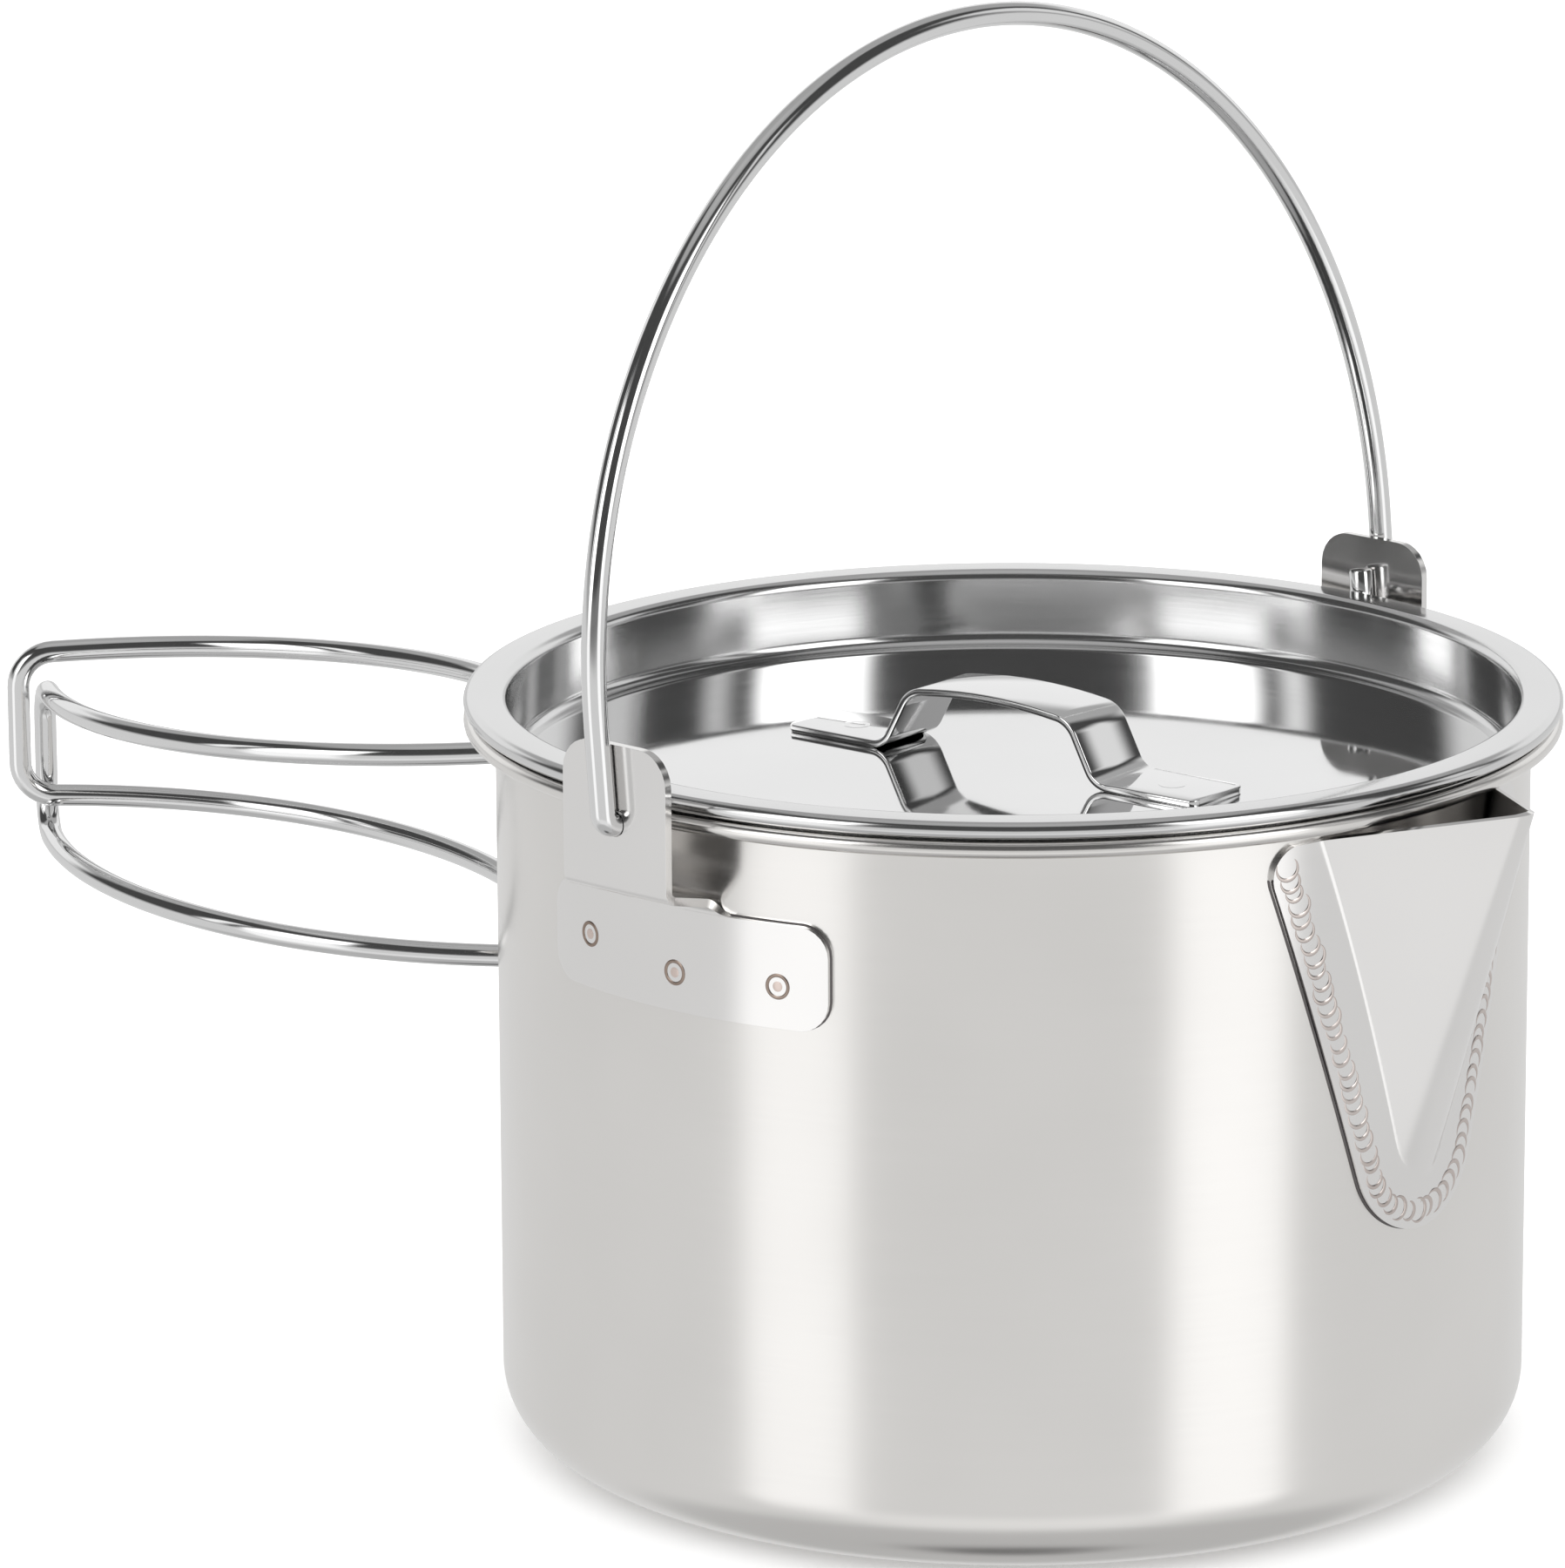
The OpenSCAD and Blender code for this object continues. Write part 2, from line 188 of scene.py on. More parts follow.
def thicken(front, back, faces):
    """Closed thin solid from a sheet's two faces, which have the same points in the same order."""
    _, first, where = np.unique(np.round(front, 4), axis=0, return_index=True, return_inverse=True)
    where = where.reshape(-1)
    merged = [tuple(where[list(face)]) for face in faces]
    merged = [face for face in merged if len(set(face)) == len(face)]
    count = len(first)
    used = {}
    for face in merged:
        for a, b in zip(face, face[1:] + face[:1]):
            used[a, b] = True
    sides = [(b, a, a + count, b + count) for a, b in used if (b, a) not in used]
    behind = [tuple(i + count for i in reversed(face)) for face in merged]
    return np.vstack([front[first], back[first]]), merged + behind + sides


def sweep(path, section, closed=False):
    """Carries a flat section, points of (sideways, up), along a path with no twist."""
    path = np.asarray(path, float)
    if closed:
        heading = np.roll(path, -1, 0) - np.roll(path, 1, 0)
    else:
        heading = np.gradient(path, axis=0)
    heading = unit(heading)
    side = np.cross(heading[0], [0.31, 0.17, 0.93])
    side /= np.linalg.norm(side)
    sides = [side]
    for t in heading[1:]:
        side = side - t * (side @ t)
        side /= np.linalg.norm(side)
        sides.append(side)
    sides = np.array(sides)
    if closed:
        end = sides[-1] - heading[0] * (sides[-1] @ heading[0])
        twist = math.atan2(np.cross(end, sides[0]) @ heading[0], end @ sides[0])
        turn = np.linspace(0, twist, len(path))[:, None]
        sides = sides * np.cos(turn) + np.cross(heading, sides) * np.sin(turn)
    ups = np.cross(heading, sides)
    section = np.asarray(section, float)
    points = (path[:, None] + sides[:, None] * section[None, :, :1]
              + ups[:, None] * section[None, :, 1:]).reshape(-1, 3)
    rows, columns = len(path), len(section)
    faces = grid_faces(rows, columns, wrap_rows=closed, wrap_columns=True)
    if not closed:
        faces += end_caps(rows, columns)
    return points, faces


def wire(path, radius=WIRE_R, closed=False, sides=24):
    """Round wire along a path. Open ends have a low dome of two rings and a tip."""
    path = np.asarray(path, float)
    angles = np.arange(sides) * 2 * math.pi / sides
    circle = np.stack([np.cos(angles), np.sin(angles)], 1) * radius
    if closed:
        return sweep(path, circle, closed=True)
    points, faces = sweep(path, circle)
    for ring, inward in ((0, path[1] - path[0]), (len(path) - 1, path[-2] - path[-1])):
        inward = inward / np.linalg.norm(inward)
        ring_points = points[ring * sides:(ring + 1) * sides]
        start = len(points)
        levels = []
        for k in (1, 2, 3):
            a = math.radians(30 * k)
            centre = path[ring] - inward * WIRE_DOME * math.sin(a)
            levels.append(centre + (ring_points - path[ring]) * math.cos(a) ** 0.5)
        cap = np.vstack(levels[:2] + [levels[2].mean(0)[None]])
        order = [ring * sides, start, start + sides]
        faces = [face for face in faces if not (len(face) == sides and ring * sides in face)]
        for a0, b0 in zip(order[:-1], order[1:]):
            for j in range(sides):
                k = (j + 1) % sides
                faces.append((a0 + j, a0 + k, b0 + k, b0 + j))
        tip = start + 2 * sides
        faces += [(order[-1] + j, order[-1] + (j + 1) % sides, tip) for j in range(sides)]
        points = np.vstack([points, cap])
    return points, faces


def turned(points, degrees, axis=2, about=(0, 0, 0)):
    """Points turned about a line along one of the axes, 0 to 2."""
    matrix = np.array(Matrix.Rotation(math.radians(degrees), 3, "XYZ"[axis]))
    return (np.asarray(points) - about) @ matrix.T + about


def new_object(name, points, faces):
    """Mesh object whose faces all point outwards."""
    mesh = bpy.data.meshes.new(name)
    mesh.from_pydata(np.asarray(points).tolist(), [], [tuple(map(int, face)) for face in faces])
    edit = bmesh.new()
    edit.from_mesh(mesh)
    bmesh.ops.recalc_face_normals(edit, faces=edit.faces)
    edit.to_mesh(mesh)
    edit.free()
    made = bpy.data.objects.new(name, mesh)
    bpy.context.scene.collection.objects.link(made)
    return made


def make_piece(name, shape, materials, body, replaces=(), bevel=0, second=None):
    """Mesh object in metres that rides on a body. Bevel is the width that rounds its sharp edges.

    Where there are two materials, second(centre in mm) says which faces take the second one.
    """
    points, faces = shape
    piece = new_object(name, np.asarray(points) * MM, faces)
    mesh = piece.data
    mesh.polygons.foreach_set("use_smooth", [True] * len(mesh.polygons))
    for material in materials:
        mesh.materials.append(material)
    if second:
        for polygon in mesh.polygons:
            polygon.material_index = int(second(np.array(polygon.center) / MM))
    if bevel:
        rounding = piece.modifiers.new("rounded edges", "BEVEL")
        rounding.width = bevel * MM
        rounding.segments = 2
        rounding.limit_method = "ANGLE"
        rounding.angle_limit = math.radians(BEVEL_A)
        rounding.harden_normals = True
    else:
        mesh.set_sharp_from_angle(angle=math.radians(SHARP_A))
    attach(piece, body)
    if replaces:
        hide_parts(*replaces)


def cut_holes(shape, centres, direction, radius, length, sides=32):
    """Shape with round holes cut through it by straight cylinders."""
    direction = np.asarray(direction, float)
    angles = np.arange(sides) * 2 * math.pi / sides
    circle = np.stack([np.cos(angles), np.sin(angles)], 1) * radius
    drills = []
    for centre in centres:
        ends = [centre - direction * length / 2, centre, centre + direction * length / 2]
        drills.append(sweep(ends, circle))
    blank = new_object("blank", *shape)
    drill = new_object("drill", *join(drills))
    difference = blank.modifiers.new("holes", "BOOLEAN")
    difference.operation = "DIFFERENCE"
    difference.solver = "EXACT"
    difference.object = drill
    graph = bpy.context.evaluated_depsgraph_get()
    mesh = bpy.data.meshes.new_from_object(blank.evaluated_get(graph))
    points = np.array([v.co[:] for v in mesh.vertices])
    faces = [tuple(p.vertices) for p in mesh.polygons]
    for made in (blank, drill):
        old = made.data
        bpy.data.objects.remove(made)
        bpy.data.meshes.remove(old)
    bpy.data.meshes.remove(mesh)
    return points, faces


def frame_at(centre, normal):
    """Directions side, up and normal, and the centre, of a small frame on a surface."""
    normal = np.asarray(normal, float) / np.linalg.norm(normal)
    side = np.cross([0, 0, 1], normal)
    if np.linalg.norm(side) < 0.1:
        side = np.array([1.0, 0, 0])
    side /= np.linalg.norm(side)
    return side, np.cross(normal, side), normal, np.asarray(centre, float)


def revolved_mark(centre, normal, profile, sides=24):
    """Small raised mark on a surface: a profile of (radius, height) turned about its normal."""
    side, up, normal, centre = frame_at(centre, normal)
    angles = np.arange(sides) * 2 * math.pi / sides
    rings = [centre + normal * h + r * (np.outer(np.cos(angles), side) + np.outer(np.sin(angles), up))
             for r, h in profile]
    faces = grid_faces(len(profile), sides, wrap_columns=True) + end_caps(len(profile), sides)
    return np.vstack(rings), faces


# Raised rings: points round a ring, points across its section, the angle by which the section dips
# into the sheet, and how far a faded side goes under the surface.
RING_TURNS, RING_CUTS = 28, 7
RING_DIP_A = 0.35
RING_SUNK = 0.04


def ring_mark(centre, normal, radius, line, height, faded=0, heavy_a=0):
    """Raised ring whose section is a half round of the given line width, sunk into the sheet.

    A faded ring is full at the angle heavy_a and loses that share of its size opposite to it.
    """
    side, up, normal, centre = frame_at(centre, normal)
    points = []
    for a in np.arange(RING_TURNS) * 2 * math.pi / RING_TURNS:
        out = math.cos(a) * side + math.sin(a) * up
        full = 1 - faded * (1 - math.cos(a - heavy_a)) / 2
        for b in np.linspace(-RING_DIP_A, math.pi + RING_DIP_A, RING_CUTS):
            rise = height * full * math.sin(b) - RING_SUNK * (1 - full)
            points.append(centre + out * (radius + line / 2 * full * math.cos(b)) + normal * rise)
    return np.array(points), grid_faces(RING_TURNS, RING_CUTS, wrap_rows=True, wrap_columns=True)


# ---------------------------------------------------------------- materials
BROAD_SCALE = 35
TONE_EDGES = (0.3, 0.7)
SMOOTHEST = 0.01


def steel(name, colour, roughness, grain=(1, 1, 1), grain_scale=300, grain_depth=0.0,
          roughness_spread=0.03, tone_spread=0.015):
    """Stainless steel. Fine stretched noise varies its roughness, and broad noise its tone."""
    material = bpy.data.materials.new(name)
    material.use_nodes = True
    nodes, links = material.node_tree.nodes, material.node_tree.links
    shader = nodes["Principled BSDF"]
    shader.inputs["Metallic"].default_value = 1
    place = nodes.new("ShaderNodeTexCoord")
    stretch = nodes.new("ShaderNodeMapping")
    stretch.inputs["Scale"].default_value = grain
    links.new(place.outputs["Object"], stretch.inputs["Vector"])
    fine = nodes.new("ShaderNodeTexNoise")
    fine.inputs["Scale"].default_value = grain_scale
    fine.inputs["Detail"].default_value = 3
    links.new(stretch.outputs["Vector"], fine.inputs["Vector"])
    broad = nodes.new("ShaderNodeTexNoise")
    broad.inputs["Scale"].default_value = BROAD_SCALE
    broad.inputs["Detail"].default_value = 2
    links.new(place.outputs["Object"], broad.inputs["Vector"])
    rough = nodes.new("ShaderNodeMapRange")
    rough.inputs["To Min"].default_value = max(SMOOTHEST, roughness - roughness_spread)
    rough.inputs["To Max"].default_value = roughness + roughness_spread
    links.new(fine.outputs["Fac"], rough.inputs["Value"])
    links.new(rough.outputs["Result"], shader.inputs["Roughness"])
    tone = nodes.new("ShaderNodeValToRGB")
    low, high = tone.color_ramp.elements
    low.position, high.position = TONE_EDGES
    low.color = (*[c - tone_spread for c in colour], 1)
    high.color = (*[c + tone_spread for c in colour], 1)
    links.new(broad.outputs["Fac"], tone.inputs["Fac"])
    links.new(tone.outputs["Color"], shader.inputs["Base Color"])
    if grain_depth:
        bump = nodes.new("ShaderNodeBump")
        bump.inputs["Strength"].default_value = 1
        bump.inputs["Distance"].default_value = grain_depth * MM
        links.new(fine.outputs["Fac"], bump.inputs["Height"])
        links.new(bump.outputs["Normal"], shader.inputs["Normal"])
    return material


UPRIGHT_GRAIN = (0.25, 0.25, 9)
POT_STEEL = steel("pot_satin_steel", (0.80, 0.785, 0.765), 0.2, grain=UPRIGHT_GRAIN, grain_scale=260,
                  grain_depth=0.0015)
SPOUT_STEEL = steel("spout_satin_steel", (0.82, 0.81, 0.80), 0.14, grain=(1, 1, 4), grain_scale=220,
                    grain_depth=0.001)
LID_MIRROR = steel("lid_mirror_steel", (0.82, 0.82, 0.82), 0.05, roughness_spread=0.02)
LID_SPUN = steel("lid_spun_steel", (0.73, 0.73, 0.73), 0.13, grain=UPRIGHT_GRAIN, grain_scale=260,
                 grain_depth=0.0012)
BRACKET_STEEL = steel("bracket_bright_steel", (0.84, 0.83, 0.82), 0.14, grain_scale=250,
                      roughness_spread=0.02)
HINGE_STEEL = steel("hinge_bright_steel", (0.83, 0.825, 0.815), 0.1, grain_scale=250)
WIRE_STEEL = steel("wire_bright_steel", (0.80, 0.80, 0.80), 0.08, grain_scale=500)
STRAP_STEEL = steel("strap_bright_steel", (0.84, 0.84, 0.84), 0.06, roughness_spread=0.02)
WELD_RING = steel("weld_ring_brown", (0.36, 0.29, 0.25), 0.3, grain_scale=700, tone_spread=0.06)
WELD_DOT = steel("weld_dot_tinted", (0.72, 0.61, 0.56), 0.28, grain_scale=700, tone_spread=0.04)
# Painted shade: near-black steel for the lines that stand in for the shadow in the gaps along plate edges.
PAINTED_GAP_SHADE = steel("painted_gap_shade_dark", (0.16, 0.15, 0.15), 0.45, grain_scale=700)
SEAM_RING = steel("seam_ring_tinted", (0.62, 0.56, 0.53), 0.2, grain_scale=700, tone_spread=0.07)


# ---------------------------------------------------------------- pot
BASE_RINGS = ((15, 0), (30, 0), (45, 0))
WALL_RINGS = (30, 50.5, 81.8)


def rolled_rim(bend_x, bend_r, sheet, top):
    """Profile over a rim, from the outside of the wall, round the bead and back to its inside."""
    bead = (RIM_R - BEAD_R, top - BEAD_R)
    under = math.degrees(math.asin((BEAD_R - sheet) / BEAD_R))
    centre = (bend_x, top - bend_r)
    return np.vstack([
        arc(centre, bend_r - sheet, 180, 90, 5),
        arc(bead, BEAD_R, 180 - under, 450, 28),
        arc(centre, bend_r, 90, 180, 8),
    ])


def pot_profile():
    """Pot's section, from the middle of the underside over the rim to the middle of the inside."""
    corner = (BODY_R - CORNER_R, CORNER_R)
    return np.vstack([
        [(0, 0), *BASE_RINGS],
        arc(corner, CORNER_R, -90, 0, 20),
        [(BODY_R, z) for z in WALL_RINGS],
        rolled_rim(BODY_R + RIM_BEND - POT_T, RIM_BEND, POT_T, POT_H),
        [(INNER_R, z) for z in reversed(WALL_RINGS)],
        arc(corner, CORNER_R - POT_T, 0, -90, 20),
        [(r, POT_T) for r, _ in reversed(BASE_RINGS)],
        [(0, POT_T)],
    ])


STRAINER_TOP = 76
STRAINER_PITCH = 4.5
STRAINER_ROWS = 5
STRAINER_R = 1.75
STRAINER_CUT = 12
strainer = [
    np.array([BODY_R, (k - (STRAINER_ROWS - 1 - row) / 2) * STRAINER_PITCH,
              STRAINER_TOP - row * STRAINER_PITCH])
    for row in range(STRAINER_ROWS) for k in range(STRAINER_ROWS - row)
]
pot_shape = cut_holes(lathe(pot_profile()), strainer, (1, 0, 0), STRAINER_R, STRAINER_CUT)
make_piece("pot_shell", pot_shape, [POT_STEEL], "pot", ["pot_body"])


# ---------------------------------------------------------------- lid and its strap
LID_RINGS = (20, 40)
LID_FLOOR_NEAR = 0.01


def lid_profile():
    """Lid's section, from the middle of the underside over the rim to the middle of the floor."""
    floor_r = LID_WALL_R - LID_FILLET - LID_T
    fillet = (floor_r, LID_FLOOR + LID_FILLET)
    under = LID_FLOOR - LID_T
    return np.vstack([
        [(0, under)],
        [(r, under) for r in LID_RINGS],
        arc(fillet, LID_FILLET + LID_T, -90, 0, 8),
        rolled_rim(LID_WALL_R - LID_T + RIM_BEND, RIM_BEND, LID_T, LID_TOP),
        arc(fillet, LID_FILLET, 0, -90, 8),
        [(r, LID_FLOOR) for r in reversed(LID_RINGS)],
        [(0, LID_FLOOR)],
    ])


def on_lid_floor(centre):
    return abs(centre[2] - LID_FLOOR) < LID_FLOOR_NEAR


make_piece("lid_shell", lathe(lid_profile()), [LID_SPUN, LID_MIRROR], "lid", ["lid"],
           second=on_lid_floor)

STRAP_W = 10
STRAP_T = 0.9
STRAP_HALF = 30
STRAP_TOP_HALF = 10
STRAP_RISE = 8
STRAP_RISE_A = 62
STRAP_CROWN_A = 8
STRAP_FOOT_BEND = 3
STRAP_TOP_BEND = 3.5
STRAP_FOOT_CORNER = 1.2
STRAP_EDGE = 0.25


def strip_path(start, heading, steps, cuts=10):
    """Points along a bent strip. A step is a straight length, a bend radius and a turn in degrees."""
    points = [np.array(start, float)]
    angle = heading
    for length, radius, turn in steps:
        if length > 0:
            points.append(points[-1] + length * np.array([math.cos(angle), math.sin(angle)]))
        if turn:
            sign = math.copysign(1, turn)
            normal = sign * np.array([-math.sin(angle), math.cos(angle)])
            centre = points[-1] + radius * normal
            for k in range(1, cuts + 1):
                a = angle + math.radians(turn) * k / cuts
                points.append(centre - sign * radius * np.array([-math.sin(a), math.cos(a)]))
            angle += math.radians(turn)
    return np.array(points)


def strap_path():
    rise, crown = math.radians(STRAP_RISE_A), math.radians(STRAP_CROWN_A)
    crown_r = STRAP_TOP_HALF / math.sin(crown)
    bends = (STRAP_FOOT_BEND * (1 - math.cos(rise)) + STRAP_TOP_BEND * (math.cos(crown) - math.cos(rise))
             + crown_r * (1 - math.cos(crown)))
    riser = (STRAP_RISE - bends) / math.sin(rise)
    step = (STRAP_FOOT_BEND * math.sin(rise) + riser * math.cos(rise)
            + STRAP_TOP_BEND * (math.sin(rise) - math.sin(crown)))
    foot = STRAP_HALF - STRAP_TOP_HALF - step
    drop = STRAP_CROWN_A - STRAP_RISE_A
    return strip_path((-STRAP_HALF, LID_FLOOR + STRAP_T / 2), 0, [
        (foot, STRAP_FOOT_BEND, STRAP_RISE_A),
        (riser, STRAP_TOP_BEND, drop),
        (0, crown_r, -2 * STRAP_CROWN_A),
        (0, STRAP_TOP_BEND, drop),
        (riser, STRAP_FOOT_BEND, STRAP_RISE_A),
        (foot, 0, 0),
    ])


def rounded_section(width, height, corner, cuts=4):
    """Outline of a flat section with round corners, counter-clockwise."""
    x, y = width / 2 - corner, height / 2 - corner
    return np.vstack([arc(c, corner, a, a + 90, cuts)
                      for c, a in (((x, y), 0), ((-x, y), 90), ((-x, -y), 180), ((x, -y), 270))])


def strap_shape():
    """Strap with rounded edges and slightly rounded foot corners."""
    line = strap_path()
    corner = STRAP_FOOT_CORNER
    ends = [corner * (1 - math.cos(math.radians(90 * k / 5))) for k in range(1, 5)]
    xs = line[:, 0]
    left = [(xs[0] + d, line[0, 1]) for d in ends]
    right = [(xs[-1] - d, line[-1, 1]) for d in reversed(ends)]
    line = np.vstack([line[:1], left, line[1:-1], right, line[-1:]])
    heading = unit(np.gradient(line, axis=0))
    section = rounded_section(STRAP_W, STRAP_T, STRAP_EDGE)
    rows = []
    for (x, z), (cx, cz) in zip(line, heading):
        d = min(x - xs[0], xs[-1] - x)
        inset = corner - math.sqrt(corner ** 2 - (corner - d) ** 2) if d < corner else 0
        share = 1 - 2 * inset / STRAP_W
        rows.append([(x - cz * v, u * share, z + cx * v) for u, v in section])
    size = len(rows), len(section)
    faces = grid_faces(*size, wrap_columns=True) + end_caps(*size)
    return turned(np.array(rows).reshape(-1, 3), LID_TURN), faces


make_piece("lid_strap", strap_shape(), [STRAP_STEEL], "lid", ["lid_handle"])

STRAP_WELD_X = 23.3
# Shallow dented mark, as (radius, height) from its edge inwards.
STRAP_WELD = [(1.7, -0.1), (1.6, 0.02), (1.3, 0.05), (0.9, -0.02), (0.5, -0.03)]
for side, label in ((-1, "left"), (1, "right")):
    spot = turned([(side * STRAP_WELD_X, 0, LID_FLOOR + STRAP_T)], LID_TURN)[0]
    mark = revolved_mark(spot, (0, 0, 1), STRAP_WELD)
    make_piece("strap_weld_" + label, mark, [STRAP_STEEL], "lid")


# ---------------------------------------------------------------- bail
BAIL_R = 70.1
BAIL_LEG = 11.4
BAIL_LEAN = 5
HOOK_R = 65.8
HOOK_UP = 5.2
HOOK_BEND_IN = 1.5
HOOK_BEND_OUT = 1.6


def bail_path():
    """Wire's centre from one hook end, over the arch, to the other hook end."""
    across = BAIL_R - HOOK_R - HOOK_BEND_IN - HOOK_BEND_OUT
    flat = strip_path((-HOOK_R, PIVOT_Z + HOOK_UP), math.radians(-90), [
        (HOOK_UP - HOOK_BEND_IN, HOOK_BEND_IN, -90),
        (across, HOOK_BEND_OUT, -90),
        (BAIL_LEG - HOOK_BEND_OUT, 0, 0),
    ], cuts=12)
    arch = arc((0, PIVOT_Z + BAIL_LEG), BAIL_R, 180, 0, 120)[1:-1]
    other = flat[::-1] * (-1, 1)
    flat = np.vstack([flat, arch, other])
    return turned(np.insert(flat, 0, 0, axis=1), -BAIL_LEAN, axis=1, about=(0, 0, PIVOT_Z))


make_piece("bail_wire", wire(bail_path()), [WIRE_STEEL], "bail", ["bail"])

# ---------------------------------------------------------------- side handles
HANDLE_DIR = -173.5
HINGE_R = 65.2
HINGE_SIDE = 2.75
HANDLE_REACH = 84.7
HANDLE_BOW = 43
HANDLE_H_ROOT = 26
HANDLE_H_TIP = 18.7
HANDLE_STEP = 5.1
LOOP_CORNER = 4.5
HANDLE_Z = (PLATE_LOW[2] + PLATE_HIGH[2]) / 2
LOOP_ARC_R = ((HANDLE_REACH - 2 * LOOP_CORNER * math.cos(math.radians(HANDLE_BOW)))
              / (2 * math.sin(math.radians(HANDLE_BOW))))


def bent(points, heading, new_heading, radius, cuts):
    """Adds a bend that turns the last heading of a path to a new one."""
    across = new_heading - (heading @ new_heading) * heading
    across /= np.linalg.norm(across)
    turn = math.acos(max(-1, min(1, heading @ new_heading)))
    start = points[-1]
    for k in range(1, cuts + 1):
        a = turn * k / cuts
        points.append(start + radius * (across * (1 - math.cos(a)) + heading * math.sin(a)))


def handle_path():
    """Closed path of one handle about its hinge pin, with the handle's own direction as +X."""
    slope = math.atan((HANDLE_H_ROOT - HANDLE_H_TIP)
                      / (4 * LOOP_ARC_R * math.sin(math.radians(HANDLE_BOW))))
    bow = math.radians(HANDLE_BOW)
    up = np.array([0, 0, 1.0])
    out = np.array([math.cos(bow) * math.cos(slope), -math.sin(bow), -math.cos(bow) * math.sin(slope)])
    back = np.array([out[0], -out[1], out[2]])
    half = [np.array([0, 0, 0.0]), np.array([0, 0, HANDLE_H_ROOT / 2 - LOOP_CORNER])]
    bent(half, up, out, LOOP_CORNER, 10)
    bent(half, out, back, LOOP_ARC_R, 60)
    bent(half, back, -up, LOOP_CORNER, 10)
    tip = half[-1].copy()
    tip[2] = 0
    half = np.array(half + [tip])
    mirrored = half[::-1] * (1, 1, -1)
    return np.vstack([half, mirrored[1:-1]])


def handle_shape(side):
    """Upper handle for side 1 and lower handle for side -1."""
    path = handle_path() + (HINGE_R, HINGE_SIDE, HANDLE_Z + side * HANDLE_STEP / 2)
    path = path * (1, side, 1)
    return wire(turned(path, HANDLE_DIR), closed=True)


make_piece("handle_wire_upper", handle_shape(1), [WIRE_STEEL], "upper_handle",
           ["handle_loop_upper"])
make_piece("handle_wire_lower", handle_shape(-1), [WIRE_STEEL], "lower_handle",
           ["handle_loop_lower"])

# ---------------------------------------------------------------- hinge plates
HINGE_PLATE_T = 0.8
HINGE_PLATE_L = 20
HINGE_PLATE_H = PLATE_HIGH[2] - PLATE_LOW[2]
HINGE_CORNER = 2
HINGE_BEND = 3
BARREL_GAP = 0.06
BARREL_MID_R = WIRE_R + BARREL_GAP + HINGE_PLATE_T / 2
BARREL_WRAP = 318
LIFT_Y = 13


def hinge_line():
    """Middle of the hinge plate's sheet, seen from above, from its free end into the rolled barrel."""
    wall_r = BODY_R + HINGE_PLATE_T / 2
    free_a = math.degrees(math.asin((HINGE_SIDE + HINGE_PLATE_L) / wall_r))
    lift_a = math.degrees(math.asin(LIFT_Y / wall_r))
    wall = arc((0, 0), wall_r, free_a, lift_a, 16)
    pin = np.array([HINGE_R, HINGE_SIDE])
    heading = math.radians(lift_a - 90)
    turn_centre = wall[-1] + HINGE_BEND * np.array([-math.sin(heading), math.cos(heading)])
    # The sheet leaves its bend and meets the barrel on a common inner tangent of the two circles.
    gap = pin - turn_centre
    span = np.linalg.norm(gap)
    leave = math.atan2(gap[1], gap[0]) + math.asin((HINGE_BEND + BARREL_MID_R) / span)
    bend = arc(turn_centre, HINGE_BEND, math.degrees(heading) - 90, math.degrees(leave) - 90, 8)[1:]
    barrel_a = math.degrees(leave) + 90
    barrel = arc(pin, BARREL_MID_R, barrel_a, barrel_a - BARREL_WRAP, 48)
    return np.vstack([wall, bend, barrel])


def hinge_shape(side):
    """Hinge plate of the upper handle for side 1 and of the lower handle for side -1."""
    line = hinge_line()
    heading = unit(np.gradient(line, axis=0))
    normal = np.stack([-heading[:, 1], heading[:, 0]], 1)
    along = distances(line)
    # The rounded corners of the free end need stations of their own.
    near = HINGE_CORNER * (1 - np.cos(np.radians([12, 25, 38, 50, 62, 76])))
    stations = np.unique(np.concatenate([near, along[along > HINGE_CORNER * 0.9], [0.0]]))
    line = np.stack([np.interp(stations, along, line[:, k]) for k in (0, 1)], 1)
    normal = unit(np.stack([np.interp(stations, along, normal[:, k]) for k in (0, 1)], 1))
    short = np.clip(HINGE_CORNER - stations, 0, None)
    inset = HINGE_CORNER - np.sqrt(HINGE_CORNER ** 2 - short ** 2)
    rows = np.linspace(-1, 1, 7)
    half = HINGE_PLATE_H / 2 - inset
    z = HANDLE_Z + half[:, None] * rows
    sheets = []
    for offset in (HINGE_PLATE_T / 2, -HINGE_PLATE_T / 2):
        xy = line + normal * offset
        grid = np.dstack([np.repeat(xy[:, :1], len(rows), 1), np.repeat(xy[:, 1:], len(rows), 1), z])
        sheets.append(turned(grid.reshape(-1, 3) * (1, side, 1), HANDLE_DIR))
    return thicken(*sheets, grid_faces(len(stations), len(rows)))


def hinge_gap_shade_line(side):
    """Dark line of painted shade where the hinge plate's edge meets the pot's wall, standing in for the
    gap's shadow.
    """
    wall_r = BODY_R + HINGE_PLATE_T / 2
    free_a = math.asin((HINGE_SIDE + HINGE_PLATE_L) / wall_r)
    corner_a = HINGE_CORNER / wall_r * (1 - np.cos(np.radians([0, 15, 30, 45, 60, 75, 90])))
    angles = np.concatenate([free_a - corner_a, [math.asin(LIFT_Y / wall_r)]])
    short = np.clip(HINGE_CORNER - (free_a - angles) * wall_r, 0, None)
    half = HINGE_PLATE_H / 2 - HINGE_CORNER + np.sqrt(HINGE_CORNER ** 2 - short ** 2)
    angles = np.concatenate([angles[::-1], angles])
    heights = HANDLE_Z + np.concatenate([-half[::-1], half])
    points = np.stack([GAP_SHADE_LINE_AT * np.cos(angles), side * GAP_SHADE_LINE_AT * np.sin(angles), heights], 1)
    return wire(turned(points, HANDLE_DIR), radius=GAP_SHADE_LINE_R, sides=8)


